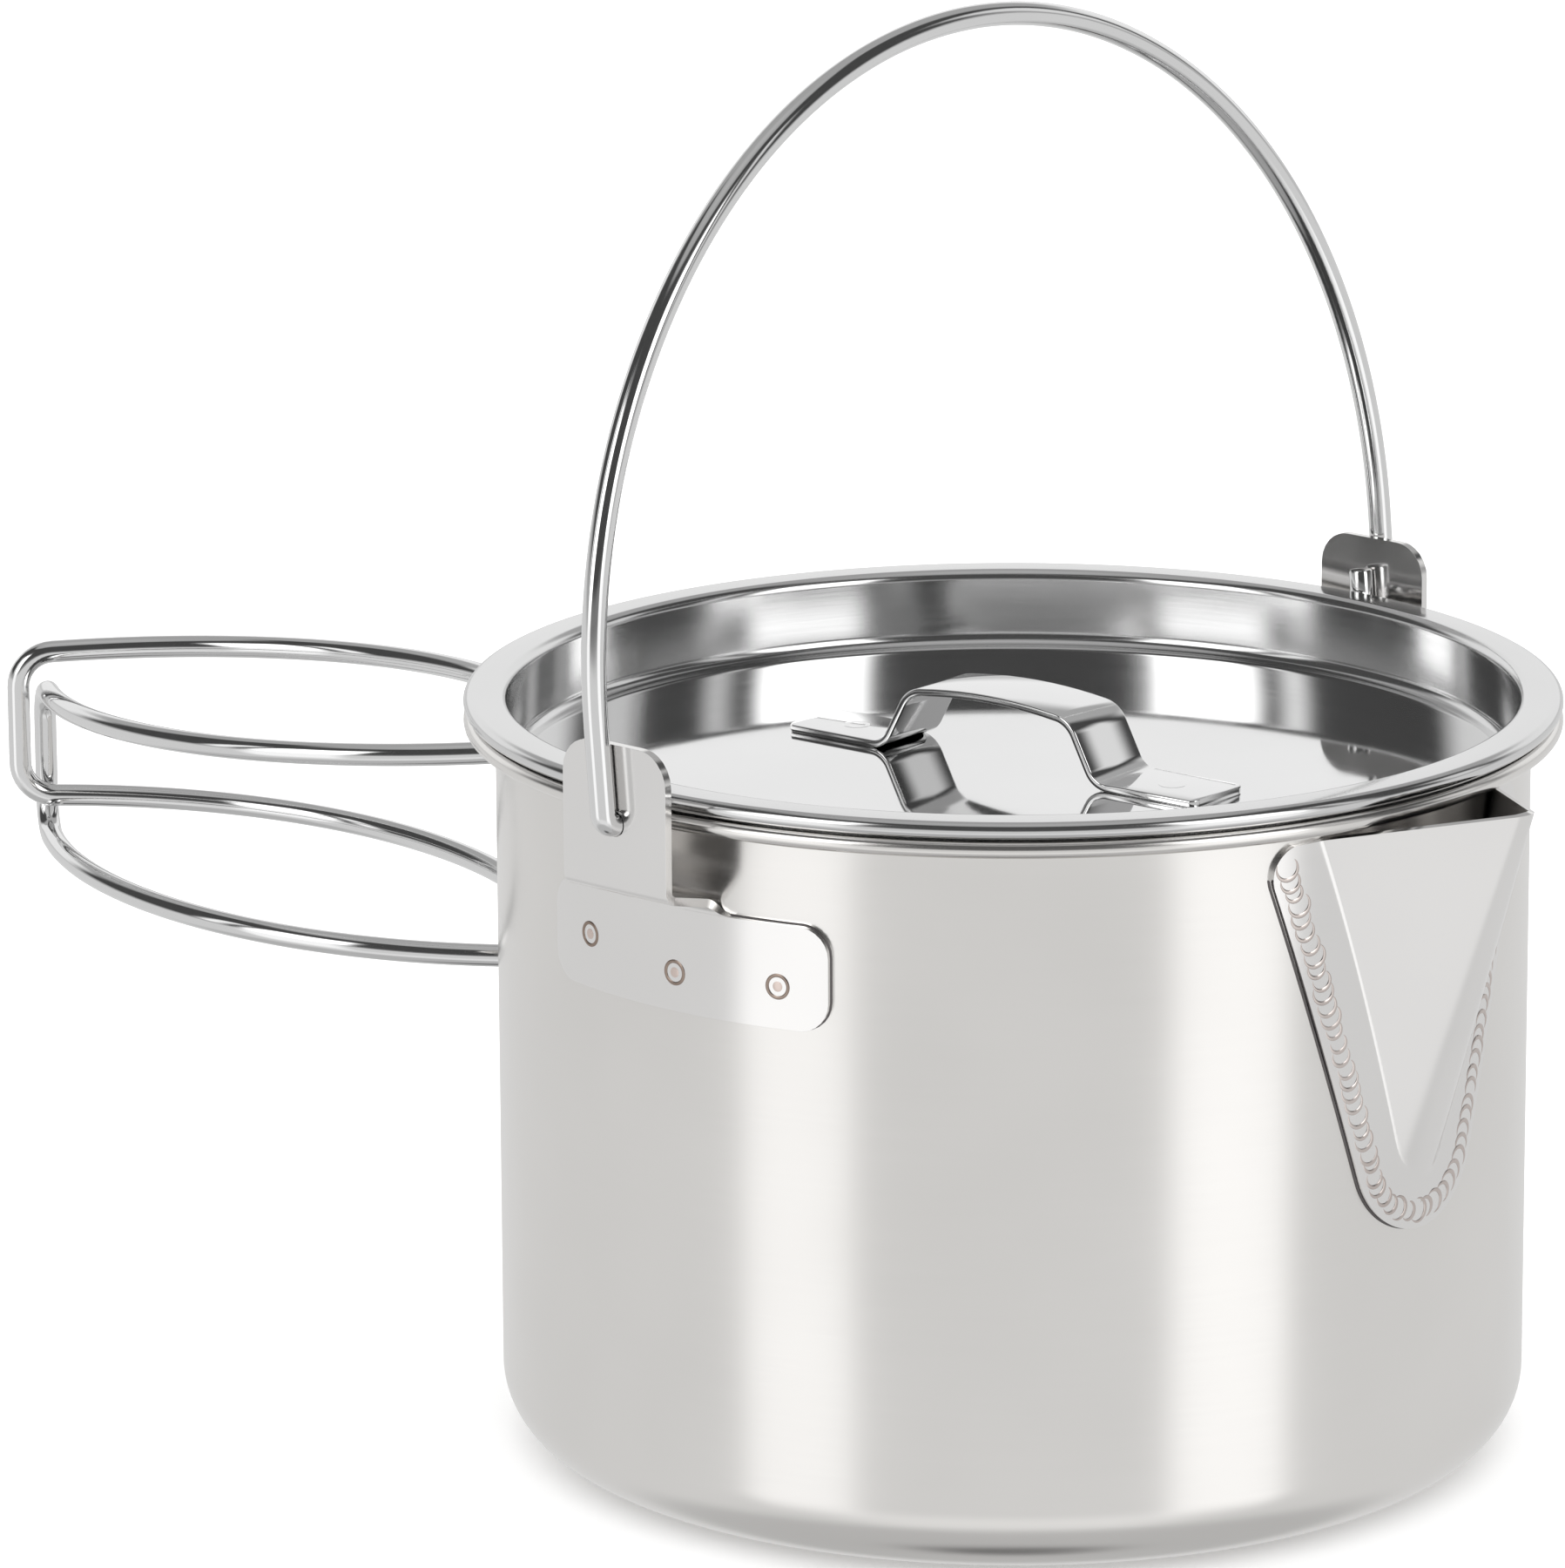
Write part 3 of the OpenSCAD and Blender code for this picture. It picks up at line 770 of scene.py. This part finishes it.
# Spot welds: the ring's radius, line width and height, and the dot's (radius, height) profile.
WELD_R = 1.3
WELD_LINE = 0.42
WELD_RISE = 0.09
WELD_PROFILE = [(0.62, -0.05), (0.6, 0.015), (0.42, 0.045), (0.2, 0.055)]


def spot_weld(name, centre, normal):
    """Spot weld: a thin brown ring and a small tinted dot."""
    ring = ring_mark(centre, normal, WELD_R, WELD_LINE, WELD_RISE)
    dot = revolved_mark(centre, normal, WELD_PROFILE, 16)
    make_piece(name + "_ring", ring, [WELD_RING], "pot")
    make_piece(name + "_dot", dot, [WELD_DOT], "pot")


HINGE_WELD_Y = 18.8
HINGE_WELD_DZ = 2.9
for side, label in ((1, "upper"), (-1, "lower")):
    make_piece("hinge_leaf_" + label, hinge_shape(side), [HINGE_STEEL], "pot",
               ["hinge_plate_" + label], bevel=0.12)
    # Painted shade: dark line along the hinge plate's edge in place of the gap's shadow.
    make_piece("hinge_gap_shade_line_" + label, hinge_gap_shade_line(side), [PAINTED_GAP_SHADE], "pot")
    for level, where in ((-1, "a"), (1, "b")):
        weld_x = math.sqrt((BODY_R + HINGE_PLATE_T) ** 2 - HINGE_WELD_Y ** 2)
        spot = (weld_x, side * HINGE_WELD_Y, HANDLE_Z + level * HINGE_WELD_DZ)
        spot = turned([spot], HANDLE_DIR)[0]
        spot_weld("hinge_weld_" + label + "_" + where, spot, spot * (1, 1, 0))

# ---------------------------------------------------------------- bail brackets
BRACKET_T = 1.0
TAB_W = 15.6
BRACKET_PLATE_W = 39.8
BRACKET_PLATE_H = 12.1
PLATE_TURN = 2
PLATE_CORNER = 3.5
TAB_CORNER = 4
JOGGLE_BEND = 1.5
JOGGLE_TOP_BEND = 1.2
JOGGLE_A = 76
FLARE_R = 2.2
PLATE_TOP = PLATE_Z + BRACKET_PLATE_H
TAB_HOLE_GAP = 0.08
TAB_HOLE_CUT = 5


def bracket_profile():
    """Middle of the sheet from the plate's top edge up the joggle to the tab's top, as (radius, height)."""
    mid_r = BODY_R + BRACKET_T / 2
    out = TAB_R - BRACKET_T - BODY_R
    a = math.radians(JOGGLE_A)
    bends = JOGGLE_BEND + JOGGLE_TOP_BEND
    slope = (out - bends * (1 - math.cos(a))) / math.sin(a)
    rise = bends * math.sin(a) + slope * math.cos(a)
    tab = TAB_TOP - PLATE_TOP - rise
    corner_rows = TAB_CORNER * (1 - np.sin(np.radians([15, 30, 45, 58, 70, 80])))
    line = strip_path((mid_r, PLATE_TOP), math.radians(90), [
        (0, JOGGLE_BEND, -JOGGLE_A),
        (slope, JOGGLE_TOP_BEND, JOGGLE_A),
    ], cuts=8)
    low = line[-1, 1]
    flat = np.linspace(low, low + tab - TAB_CORNER, 10)[1:]
    upper = np.sort(TAB_TOP - corner_rows)
    heights = np.concatenate([flat, upper, [TAB_TOP]])
    return np.vstack([line, [(line[-1, 0], z) for z in heights]])


def plate_edges():
    """Angles, lower heights and upper heights of the bracket plate's stations, and the tab's angles."""
    mid_r = BODY_R + BRACKET_T / 2
    foot_a = math.asin((TAB_W / 2 + FLARE_R) / mid_r)
    half_a = math.asin(BRACKET_PLATE_W / 2 / mid_r)
    turn = math.radians(PLATE_TURN)
    ends = np.radians([0, 14, 28, 42, 56, 70, 82])
    corner_a = PLATE_CORNER / mid_r * (1 - np.cos(ends))
    left = np.concatenate([turn - half_a + corner_a,
                           np.linspace(turn - half_a + PLATE_CORNER / mid_r, -foot_a, 6)])
    right = np.concatenate([np.linspace(foot_a, turn + half_a - PLATE_CORNER / mid_r, 8),
                            (turn + half_a - corner_a)[::-1]])
    middle = np.linspace(-foot_a, foot_a, 25)
    angles = np.unique(np.round(np.concatenate([left, middle, right]), 9))
    gap = np.minimum(angles - (turn - half_a), turn + half_a - angles) * mid_r
    short = np.clip(PLATE_CORNER - gap, 0, None)
    inset = PLATE_CORNER - np.sqrt(np.clip(PLATE_CORNER ** 2 - short ** 2, 0, None))
    return angles, PLATE_Z + inset, PLATE_TOP - inset, middle


def bracket_sheets():
    """Front and back points and faces of one bracket, with the tab's middle along +X."""
    mid_r = BODY_R + BRACKET_T / 2
    foot_half = TAB_W / 2 + FLARE_R
    angles, low, high, middle = plate_edges()
    rows = np.linspace(0, 1, 8)
    z = low[None] + (high - low)[None] * rows[:, None]
    points, normals = [], []
    radial = np.stack([np.cos(angles), np.sin(angles), 0 * angles], 1)
    for row in z:
        points.append(radial * mid_r + np.stack([0 * row, 0 * row, row], 1))
        normals.append(radial)
    faces = grid_faces(len(rows), len(angles))
    start = len(rows) * len(angles)

    profile = bracket_profile()
    heading = unit(np.gradient(profile, axis=0))
    heading[0] = (0, 1)
    tab_y = mid_r * np.sin(middle)
    climbed = distances(profile)
    blend = np.clip((profile[:, 0] - mid_r) / (profile[-1, 0] - mid_r), 0, 1)
    for (r, height), (hr, hz), s, b in zip(profile, heading, climbed, blend):
        # The tab narrows into its top corners and flares out where it meets the plate.
        near_top = max(0, TAB_CORNER - (TAB_TOP - height))
        near_low = max(0, FLARE_R - s)
        width = TAB_W / 2
        width -= TAB_CORNER - math.sqrt(max(0, TAB_CORNER ** 2 - near_top ** 2))
        width += FLARE_R - math.sqrt(FLARE_R ** 2 - near_low ** 2)
        y = tab_y / foot_half * width
        sag = mid_r - np.sqrt(mid_r ** 2 - y ** 2)
        points.append(np.stack([r - sag * (1 - b), y, np.full_like(y, height)], 1))
        side = y / mid_r * (1 - b)
        normals.append(unit(np.stack([np.full_like(y, hz), side, np.full_like(y, -hr)], 1)))
    faces += [tuple(i + start for i in face) for face in grid_faces(len(profile), len(middle))]
    points, normals = np.vstack(points), np.vstack(normals)
    return points + normals * BRACKET_T / 2, points - normals * BRACKET_T / 2, faces


def bracket_shape():
    """Bracket as a solid, with the hole for the bail in its tab."""
    shape = thicken(*bracket_sheets())
    pivot = np.array([TAB_R - BRACKET_T / 2, 0, PIVOT_Z])
    return cut_holes(shape, [pivot], (1, 0, 0), WIRE_R + TAB_HOLE_GAP, TAB_HOLE_CUT)


def bracket_gap_shade_line():
    """Dark line of painted shade where the plate's edge meets the pot's wall, standing in for the gap's
    shadow.
    """
    angles, low, high, _ = plate_edges()
    angles = np.concatenate([angles, angles[::-1]])
    heights = np.concatenate([low, high[::-1]])
    points = np.stack([GAP_SHADE_LINE_AT * np.cos(angles), GAP_SHADE_LINE_AT * np.sin(angles), heights], 1)
    return wire(points, radius=GAP_SHADE_LINE_R, closed=True, sides=8)


bracket_points, bracket_faces = bracket_shape()
shade_line_points, shade_line_faces = bracket_gap_shade_line()
# Spot welds of a bracket, as (angle from the tab's middle in degrees, height).
BRACKET_WELDS = ((-10.6, 70.3), (2.4, 68.5), (15.3, 68.9))
for direction, label in ((-90, "front"), (90, "rear")):
    make_piece("bail_tab_" + label, (turned(bracket_points, direction), bracket_faces), [BRACKET_STEEL],
               "pot", ["bail_bracket_" + label], bevel=0.15)
    # Painted shade: dark line round the bracket plate's edge in place of the gap's shadow.
    make_piece("tab_gap_shade_line_" + label, (turned(shade_line_points, direction), shade_line_faces), [PAINTED_GAP_SHADE],
               "pot")
    for number, (weld_a, weld_z) in enumerate(BRACKET_WELDS):
        a = math.radians(direction + weld_a)
        out = np.array([math.cos(a), math.sin(a), 0])
        spot_weld(f"tab_weld_{label}_{number + 1}", out * (BODY_R + BRACKET_T) + (0, 0, weld_z), out)

# ---------------------------------------------------------------- spout
SPOUT_TIP_IN = 0.02
SPOUT_TIP_R = SPOUT_HIGH[0] - SPOUT_TIP_IN
SPOUT_TIP_Z = SPOUT_HIGH[2]
SPOUT_LEAN = math.radians(16.9)
SPOUT_HALF_A = math.radians(43.9)
SPOUT_KEEL_R = 2.5
# The keel's radius grows by this much from the tip to the foot. With a share of 1 only the keel moves
# in for that, and with a share of 0 only its sides move out.
KEEL_GROWTH = 4.5
KEEL_SHARE = 0.5
# Width of the blend between trough and flange at the foot, how much it grows above, and over what height.
BLEND = 0.1
BLEND_GROWTH = 0.08
BLEND_FROM, BLEND_RISE = 2, 12
SPOUT_EDGE_A = math.radians(9.2)
FLANGE_LOW_R = 10.6
FLANGE_LOW_Z = SPOUT_LOW[2]
FLANGE_TOP_Z = 84.5
FLANGE_SIDE_A = math.radians(18.1)
FLANGE_CORNER = 3.8
FLANGE_CENTRE_Z = FLANGE_LOW_Z + FLANGE_LOW_R
SHOULDER_Z = FLANGE_TOP_Z - FLANGE_CORNER
SHOULDER_Y = ((FLANGE_LOW_R - FLANGE_CORNER) / math.cos(FLANGE_SIDE_A)
              + (SHOULDER_Z - FLANGE_CENTRE_Z) * math.tan(FLANGE_SIDE_A))


def spout_face(y, z):
    """Position x of the spout's outer face: the wall flange, blended into the trough."""
    wall = np.sqrt((BODY_R + SPOUT_T) ** 2 - y ** 2)
    keel_r = SPOUT_KEEL_R + KEEL_GROWTH * np.clip((SPOUT_TIP_Z - z) / (SPOUT_TIP_Z - FLANGE_LOW_Z), 0, 1)
    y = np.abs(y)
    round_part = keel_r - np.sqrt(np.clip(keel_r ** 2 - y ** 2, 0, None))
    flat_part = y / math.tan(SPOUT_HALF_A) - keel_r / math.sin(SPOUT_HALF_A) + keel_r
    fall = np.where(y < keel_r * math.cos(SPOUT_HALF_A), round_part, flat_part)
    tip = KEEL_SHARE * (1 / math.sin(SPOUT_HALF_A) - 1) * (keel_r - SPOUT_KEEL_R)
    keel = SPOUT_TIP_R - (SPOUT_TIP_Z - z) * math.tan(SPOUT_LEAN)
    trough = keel - (fall + tip) / math.cos(SPOUT_LEAN)
    soft = BLEND + BLEND_GROWTH * np.clip((z - FLANGE_LOW_Z - BLEND_FROM) / BLEND_RISE, 0, 1)
    return (wall + trough + np.sqrt((wall - trough) ** 2 + soft ** 2)) / 2


def flange_low(y):
    """Height of the flange's lower outline at sideways distance y."""
    y = np.abs(y)
    tangent_y = FLANGE_LOW_R * math.cos(FLANGE_SIDE_A)
    tangent_z = FLANGE_CENTRE_Z - FLANGE_LOW_R * math.sin(FLANGE_SIDE_A)
    bowl = FLANGE_CENTRE_Z - np.sqrt(np.clip(FLANGE_LOW_R ** 2 - y ** 2, 0, None))
    side = tangent_z + (y - tangent_y) / math.tan(FLANGE_SIDE_A)
    low = np.where(y < tangent_y, bowl, side)
    corner_low = SHOULDER_Z - np.sqrt(np.clip(FLANGE_CORNER ** 2 - (y - SHOULDER_Y) ** 2, 0, None))
    past = y > SHOULDER_Y + FLANGE_CORNER * math.cos(FLANGE_SIDE_A)
    return np.where(past, corner_low, low)


def flange_high(y):
    """Height of the top edge: it falls from the tip towards the wall, with a round outer corner."""
    edge = np.full_like(y, SPOUT_TIP_Z)
    for _ in range(20):
        edge = SPOUT_TIP_Z - (SPOUT_TIP_R - spout_face(y, edge)) * math.tan(SPOUT_EDGE_A)
    over = np.clip(np.abs(y) - SHOULDER_Y, 0, FLANGE_CORNER)
    corner = SHOULDER_Z + np.sqrt(FLANGE_CORNER ** 2 - over ** 2)
    return np.where(over > 0, np.minimum(corner, edge), edge)


def across_flange(count, share):
    """Sideways places over a share of the flange's width, closer together near its sides."""
    widest = SHOULDER_Y + FLANGE_CORNER
    spread = np.linspace(-1, 1, count)
    return share * widest * (0.6 * np.sin(spread * math.pi / 2) + 0.4 * spread)


def spout_shape():
    """Spout's sheet, flange and trough in one."""
    y = across_flange(181, 0.9995)
    rows = np.linspace(0, 1, 90)[:, None]
    low, high = flange_low(y), flange_high(y)
    least_height = 0.02
    high = np.maximum(high, low + least_height)
    z = low + (high - low) * rows
    y = np.broadcast_to(y, z.shape)
    x = spout_face(y, z)
    step = 0.05
    slope_y = (spout_face(y + step, z) - spout_face(y - step, z)) / (2 * step)
    slope_z = (spout_face(y, z + step) - spout_face(y, z - step)) / (2 * step)
    normal = unit(np.dstack([np.ones_like(x), -slope_y, -slope_z]))
    front = np.dstack([x, y, z])
    back = front - normal * SPOUT_T
    return thicken(front.reshape(-1, 3), back.reshape(-1, 3), grid_faces(*x.shape))


make_piece("spout_trough", spout_shape(), [SPOUT_STEEL], "pot", ["spout"], bevel=0.12)


# Seam welds: how far inside the flange's outline they lie and end, their pitch, line width and
# random seed, and the ranges of their radii and heights.
SEAM_INSET = 2.1
SEAM_TOP = 2.6
SEAM_PITCH = 1.6
SEAM_LINE = 0.55
SEAM_SEED = 11
SEAM_R = (1.05, 1.4)
SEAM_RISE = (0.07, 0.12)


def weld_line():
    """Line of the seam welds inside the flange's outline, from one top corner round to the other."""
    bowl_r = FLANGE_LOW_R - SEAM_INSET
    tangent = np.array([bowl_r * math.cos(FLANGE_SIDE_A),
                        FLANGE_CENTRE_Z - bowl_r * math.sin(FLANGE_SIDE_A)])
    top_z = FLANGE_TOP_Z - SEAM_TOP
    top = np.array([tangent[0] + (top_z - tangent[1]) * math.tan(FLANGE_SIDE_A), top_z])
    bowl = arc((0, FLANGE_CENTRE_Z), bowl_r, 180 + math.degrees(FLANGE_SIDE_A),
               360 - math.degrees(FLANGE_SIDE_A), 40)
    return np.vstack([top * (-1, 1), bowl, top])


def seam_rings():
    """Chain of overlapping weld marks along the spout's flange, each heavier on its forward side."""
    line = weld_line()
    along = distances(line)
    rng = random.Random(SEAM_SEED)
    rings = []
    for s in np.arange(0, along[-1], SEAM_PITCH):
        s += rng.uniform(-0.25, 0.25)
        y = np.interp(s, along, line[:, 0]) + rng.uniform(-0.15, 0.15)
        z = np.interp(s, along, line[:, 1])
        radius = rng.uniform(*SEAM_R)
        ahead_y = np.interp(s + 1, along, line[:, 0]) - np.interp(s, along, line[:, 0])
        ahead_z = np.interp(s + 1, along, line[:, 1]) - np.interp(s, along, line[:, 1])
        heavy_a = math.atan2(ahead_z, ahead_y) + rng.uniform(-0.3, 0.3)
        outer = float(spout_face(np.array(y), np.array(z)))
        centre = np.array([outer, y, z])
        rise = rng.uniform(*SEAM_RISE)
        rings.append(ring_mark(centre, centre * (1, 1, 0), radius, SEAM_LINE, rise, 1.0, heavy_a))
    return join(rings)


make_piece("spout_seam_welds", seam_rings(), [SEAM_RING], "pot")


def flange_gap_shade_line():
    """Dark line of painted shade where the flange's edge meets the wall, standing in for the gap's shadow,
    from one top corner round to the other.
    """
    y = across_flange(160, 0.999)
    z = flange_low(y)
    x = np.sqrt(GAP_SHADE_LINE_AT ** 2 - y ** 2)
    return wire(np.stack([x, y, z], 1), radius=GAP_SHADE_LINE_R, sides=8)


# Painted shade: dark line round the spout flange's outline in place of the gap's shadow.
make_piece("spout_gap_shade_line", flange_gap_shade_line(), [PAINTED_GAP_SHADE], "pot")

# ---------------------------------------------------------------- camera, floor and light
# The camera looks at a point CAMERA_SIDE to the right of the pot's axis and CAMERA_HEIGHT up.
CAMERA_AZIMUTH = math.radians(42)
CAMERA_ELEVATION = math.radians(14.4246)
CAMERA_DISTANCE = 1078.4
CAMERA_SIDE = -26.954
CAMERA_HEIGHT = 78.12
CAMERA_ROLL = -0.0053
CAMERA_LENS = 211.36
SENSOR = 36
CLIP_NEAR, CLIP_FAR = 0.05, 60

FLOOR_HALF = 4
FLOOR_DROP = 0.0002


def make_camera():
    right = np.array([math.cos(CAMERA_AZIMUTH), math.sin(CAMERA_AZIMUTH), 0])
    away = np.array([math.sin(CAMERA_AZIMUTH) * math.cos(CAMERA_ELEVATION),
                     -math.cos(CAMERA_AZIMUTH) * math.cos(CAMERA_ELEVATION),
                     math.sin(CAMERA_ELEVATION)])
    target = right * CAMERA_SIDE + (0, 0, CAMERA_HEIGHT)
    data = bpy.data.cameras.new("camera")
    data.lens = CAMERA_LENS
    data.sensor_width = SENSOR
    data.clip_start = CLIP_NEAR
    data.clip_end = CLIP_FAR
    camera = bpy.data.objects.new("camera", data)
    bpy.context.scene.collection.objects.link(camera)
    camera.location = Vector((target + away * CAMERA_DISTANCE) * MM)
    look = Vector(-away).to_track_quat("-Z", "Y").to_matrix()
    camera.rotation_euler = (look @ Matrix.Rotation(CAMERA_ROLL, 3, "Z")).to_euler()
    bpy.context.scene.camera = camera


def make_floor():
    """White floor that neither reflections nor shadow rays see."""
    mesh = bpy.data.meshes.new("floor")
    corners = [(x * FLOOR_HALF, y * FLOOR_HALF, 0) for x, y in ((-1, -1), (1, -1), (1, 1), (-1, 1))]
    mesh.from_pydata(corners, [], [(0, 1, 2, 3)])
    floor = bpy.data.objects.new("floor", mesh)
    bpy.context.scene.collection.objects.link(floor)
    floor.location.z = cad_box[0].z - FLOOR_DROP
    material = bpy.data.materials.new("floor_white")
    material.use_nodes = True
    shader = material.node_tree.nodes["Principled BSDF"]
    shader.inputs["Base Color"].default_value = (0.97, 0.97, 0.97, 1)
    shader.inputs["Roughness"].default_value = 0.9
    mesh.materials.append(material)
    floor.visible_glossy = False
    floor.visible_shadow = False


class World:
    """Node maths for the studio's light, as a function of direction."""

    def __init__(self):
        world = bpy.data.worlds.new("studio")
        bpy.context.scene.world = world
        world.use_nodes = True
        self.nodes, self.links = world.node_tree.nodes, world.node_tree.links
        self.nodes.clear()
        place = self.nodes.new("ShaderNodeTexCoord")
        split = self.nodes.new("ShaderNodeSeparateXYZ")
        self.links.new(place.outputs["Generated"], split.inputs["Vector"])
        x, y, z = split.outputs
        # Azimuth 0 is towards the camera and grows to the camera's right, in degrees.
        c, s = math.cos(CAMERA_AZIMUTH), math.sin(CAMERA_AZIMUTH)
        right = self.math("ADD", self.math("MULTIPLY", x, c), self.math("MULTIPLY", y, s))
        near = self.math("SUBTRACT", self.math("MULTIPLY", x, s), self.math("MULTIPLY", y, c))
        degrees = 180 / math.pi
        self.azimuth = self.math("MULTIPLY", self.math("ARCTAN2", right, near), degrees)
        self.elevation = self.math("MULTIPLY", self.math("ARCSINE", z), degrees)

    def math(self, operation, a, b=None):
        node = self.nodes.new("ShaderNodeMath")
        node.operation = operation
        for socket, value in zip(node.inputs, (a, b)):
            if isinstance(value, (int, float)):
                socket.default_value = value
            elif value is not None:
                self.links.new(value, socket)
        return node.outputs[0]

    def within(self, value, low, high, soft):
        """1 between low and high, falling smoothly to 0 over the soft width."""
        sides = []
        for start, end in ((low - soft / 2, low + soft / 2), (high + soft / 2, high - soft / 2)):
            ramp = self.nodes.new("ShaderNodeMapRange")
            ramp.interpolation_type = "SMOOTHSTEP"
            ramp.inputs["From Min"].default_value = min(start, end)
            ramp.inputs["From Max"].default_value = max(start, end)
            ramp.inputs["To Min"].default_value = 0 if start < end else 1
            ramp.inputs["To Max"].default_value = 1 if start < end else 0
            self.links.new(value, ramp.inputs["Value"])
            sides.append(ramp.outputs["Result"])
        return self.math("MULTIPLY", *sides)

    def patch(self, level, azimuths, elevations, brightness, soft=(6, 8)):
        """The light so far, with a soft patch of another brightness laid over it."""
        share = self.math("MULTIPLY", self.within(self.azimuth, *azimuths, soft[0]),
                          self.within(self.elevation, *elevations, soft[1]))
        change = self.math("MULTIPLY", share, self.math("SUBTRACT", brightness, level))
        return self.math("ADD", level, change)

    def finish(self, level, plain):
        """Reflections see the studio, and everything else sees a plain light."""
        studio = self.nodes.new("ShaderNodeBackground")
        studio.inputs["Color"].default_value = (1, 1, 1, 1)
        self.links.new(level, studio.inputs["Strength"])
        white = self.nodes.new("ShaderNodeBackground")
        white.inputs["Strength"].default_value = plain
        path = self.nodes.new("ShaderNodeLightPath")
        mix = self.nodes.new("ShaderNodeMixShader")
        self.links.new(path.outputs["Is Glossy Ray"], mix.inputs["Fac"])
        self.links.new(white.outputs[0], mix.inputs[1])
        self.links.new(studio.outputs[0], mix.inputs[2])
        out = self.nodes.new("ShaderNodeOutputWorld")
        self.links.new(mix.outputs[0], out.inputs["Surface"])


LIGHT_BELOW = 0.72
PLAIN_LIGHT = 1.9
AROUND = (-200, 200)
# The two halves of the sky behind the pot, which meet at 180 degrees.
BEHIND = ((126, 210), (-210, -126))


def make_studio():
    """Pale all round below the horizon and dark above it, with tall soft boxes and a grey ceiling.

    A patch is laid by its azimuths, elevations and brightness, and later patches cover earlier ones.
    """
    world = World()
    level = world.math("ADD", LIGHT_BELOW, 0)
    # Below the horizon: the front that the spout reflects, and two darker steps downwards.
    level = world.patch(level, (-40, 40), (-46, -27), 0.86, soft=(30, 8))
    level = world.patch(level, AROUND, (-120, -48), 0.52, soft=(6, 14))
    level = world.patch(level, AROUND, (-120, -80), 0.14, soft=(6, 12))
    # Above it: a grey rim, the dark sky, a dim strip in front and the paler sky behind.
    level = world.patch(level, AROUND, (2, 110), 0.42, soft=(6, 6))
    level = world.patch(level, AROUND, (9, 64), 0.06, soft=(6, 8))
    level = world.patch(level, (-33, 31), (3, 10), 0.2, soft=(10, 8))
    for azimuths in BEHIND:
        level = world.patch(level, azimuths, (4, 80), 0.42, soft=(16, 8))
        level = world.patch(level, azimuths, (4, 27), 0.93, soft=(16, 8))
    # Two tall soft boxes, then their brighter upper ends with two narrow boxes beside them.
    for azimuths, brightness in (((-63, -37), 1.15), ((34, 62), 1.2)):
        level = world.patch(level, azimuths, (-31, 40), brightness, soft=(7, 22))
    for azimuths, brightness in (((-61, -35), 2.4), ((34, 61), 2.4), ((-76, -69), 1.2), ((70, 77), 0.8)):
        level = world.patch(level, azimuths, (9, 40), brightness, soft=(7, 8))
    # A lower box further round to the right.
    level = world.patch(level, (100, 114), (8, 30), 0.8, soft=(7, 10))
    # Ceiling.
    level = world.patch(level, AROUND, (76, 120), 0.5, soft=(6, 16))
    world.finish(level, PLAIN_LIGHT)


make_camera()
make_floor()
make_studio()
bpy.context.scene.view_settings.view_transform = "Standard"
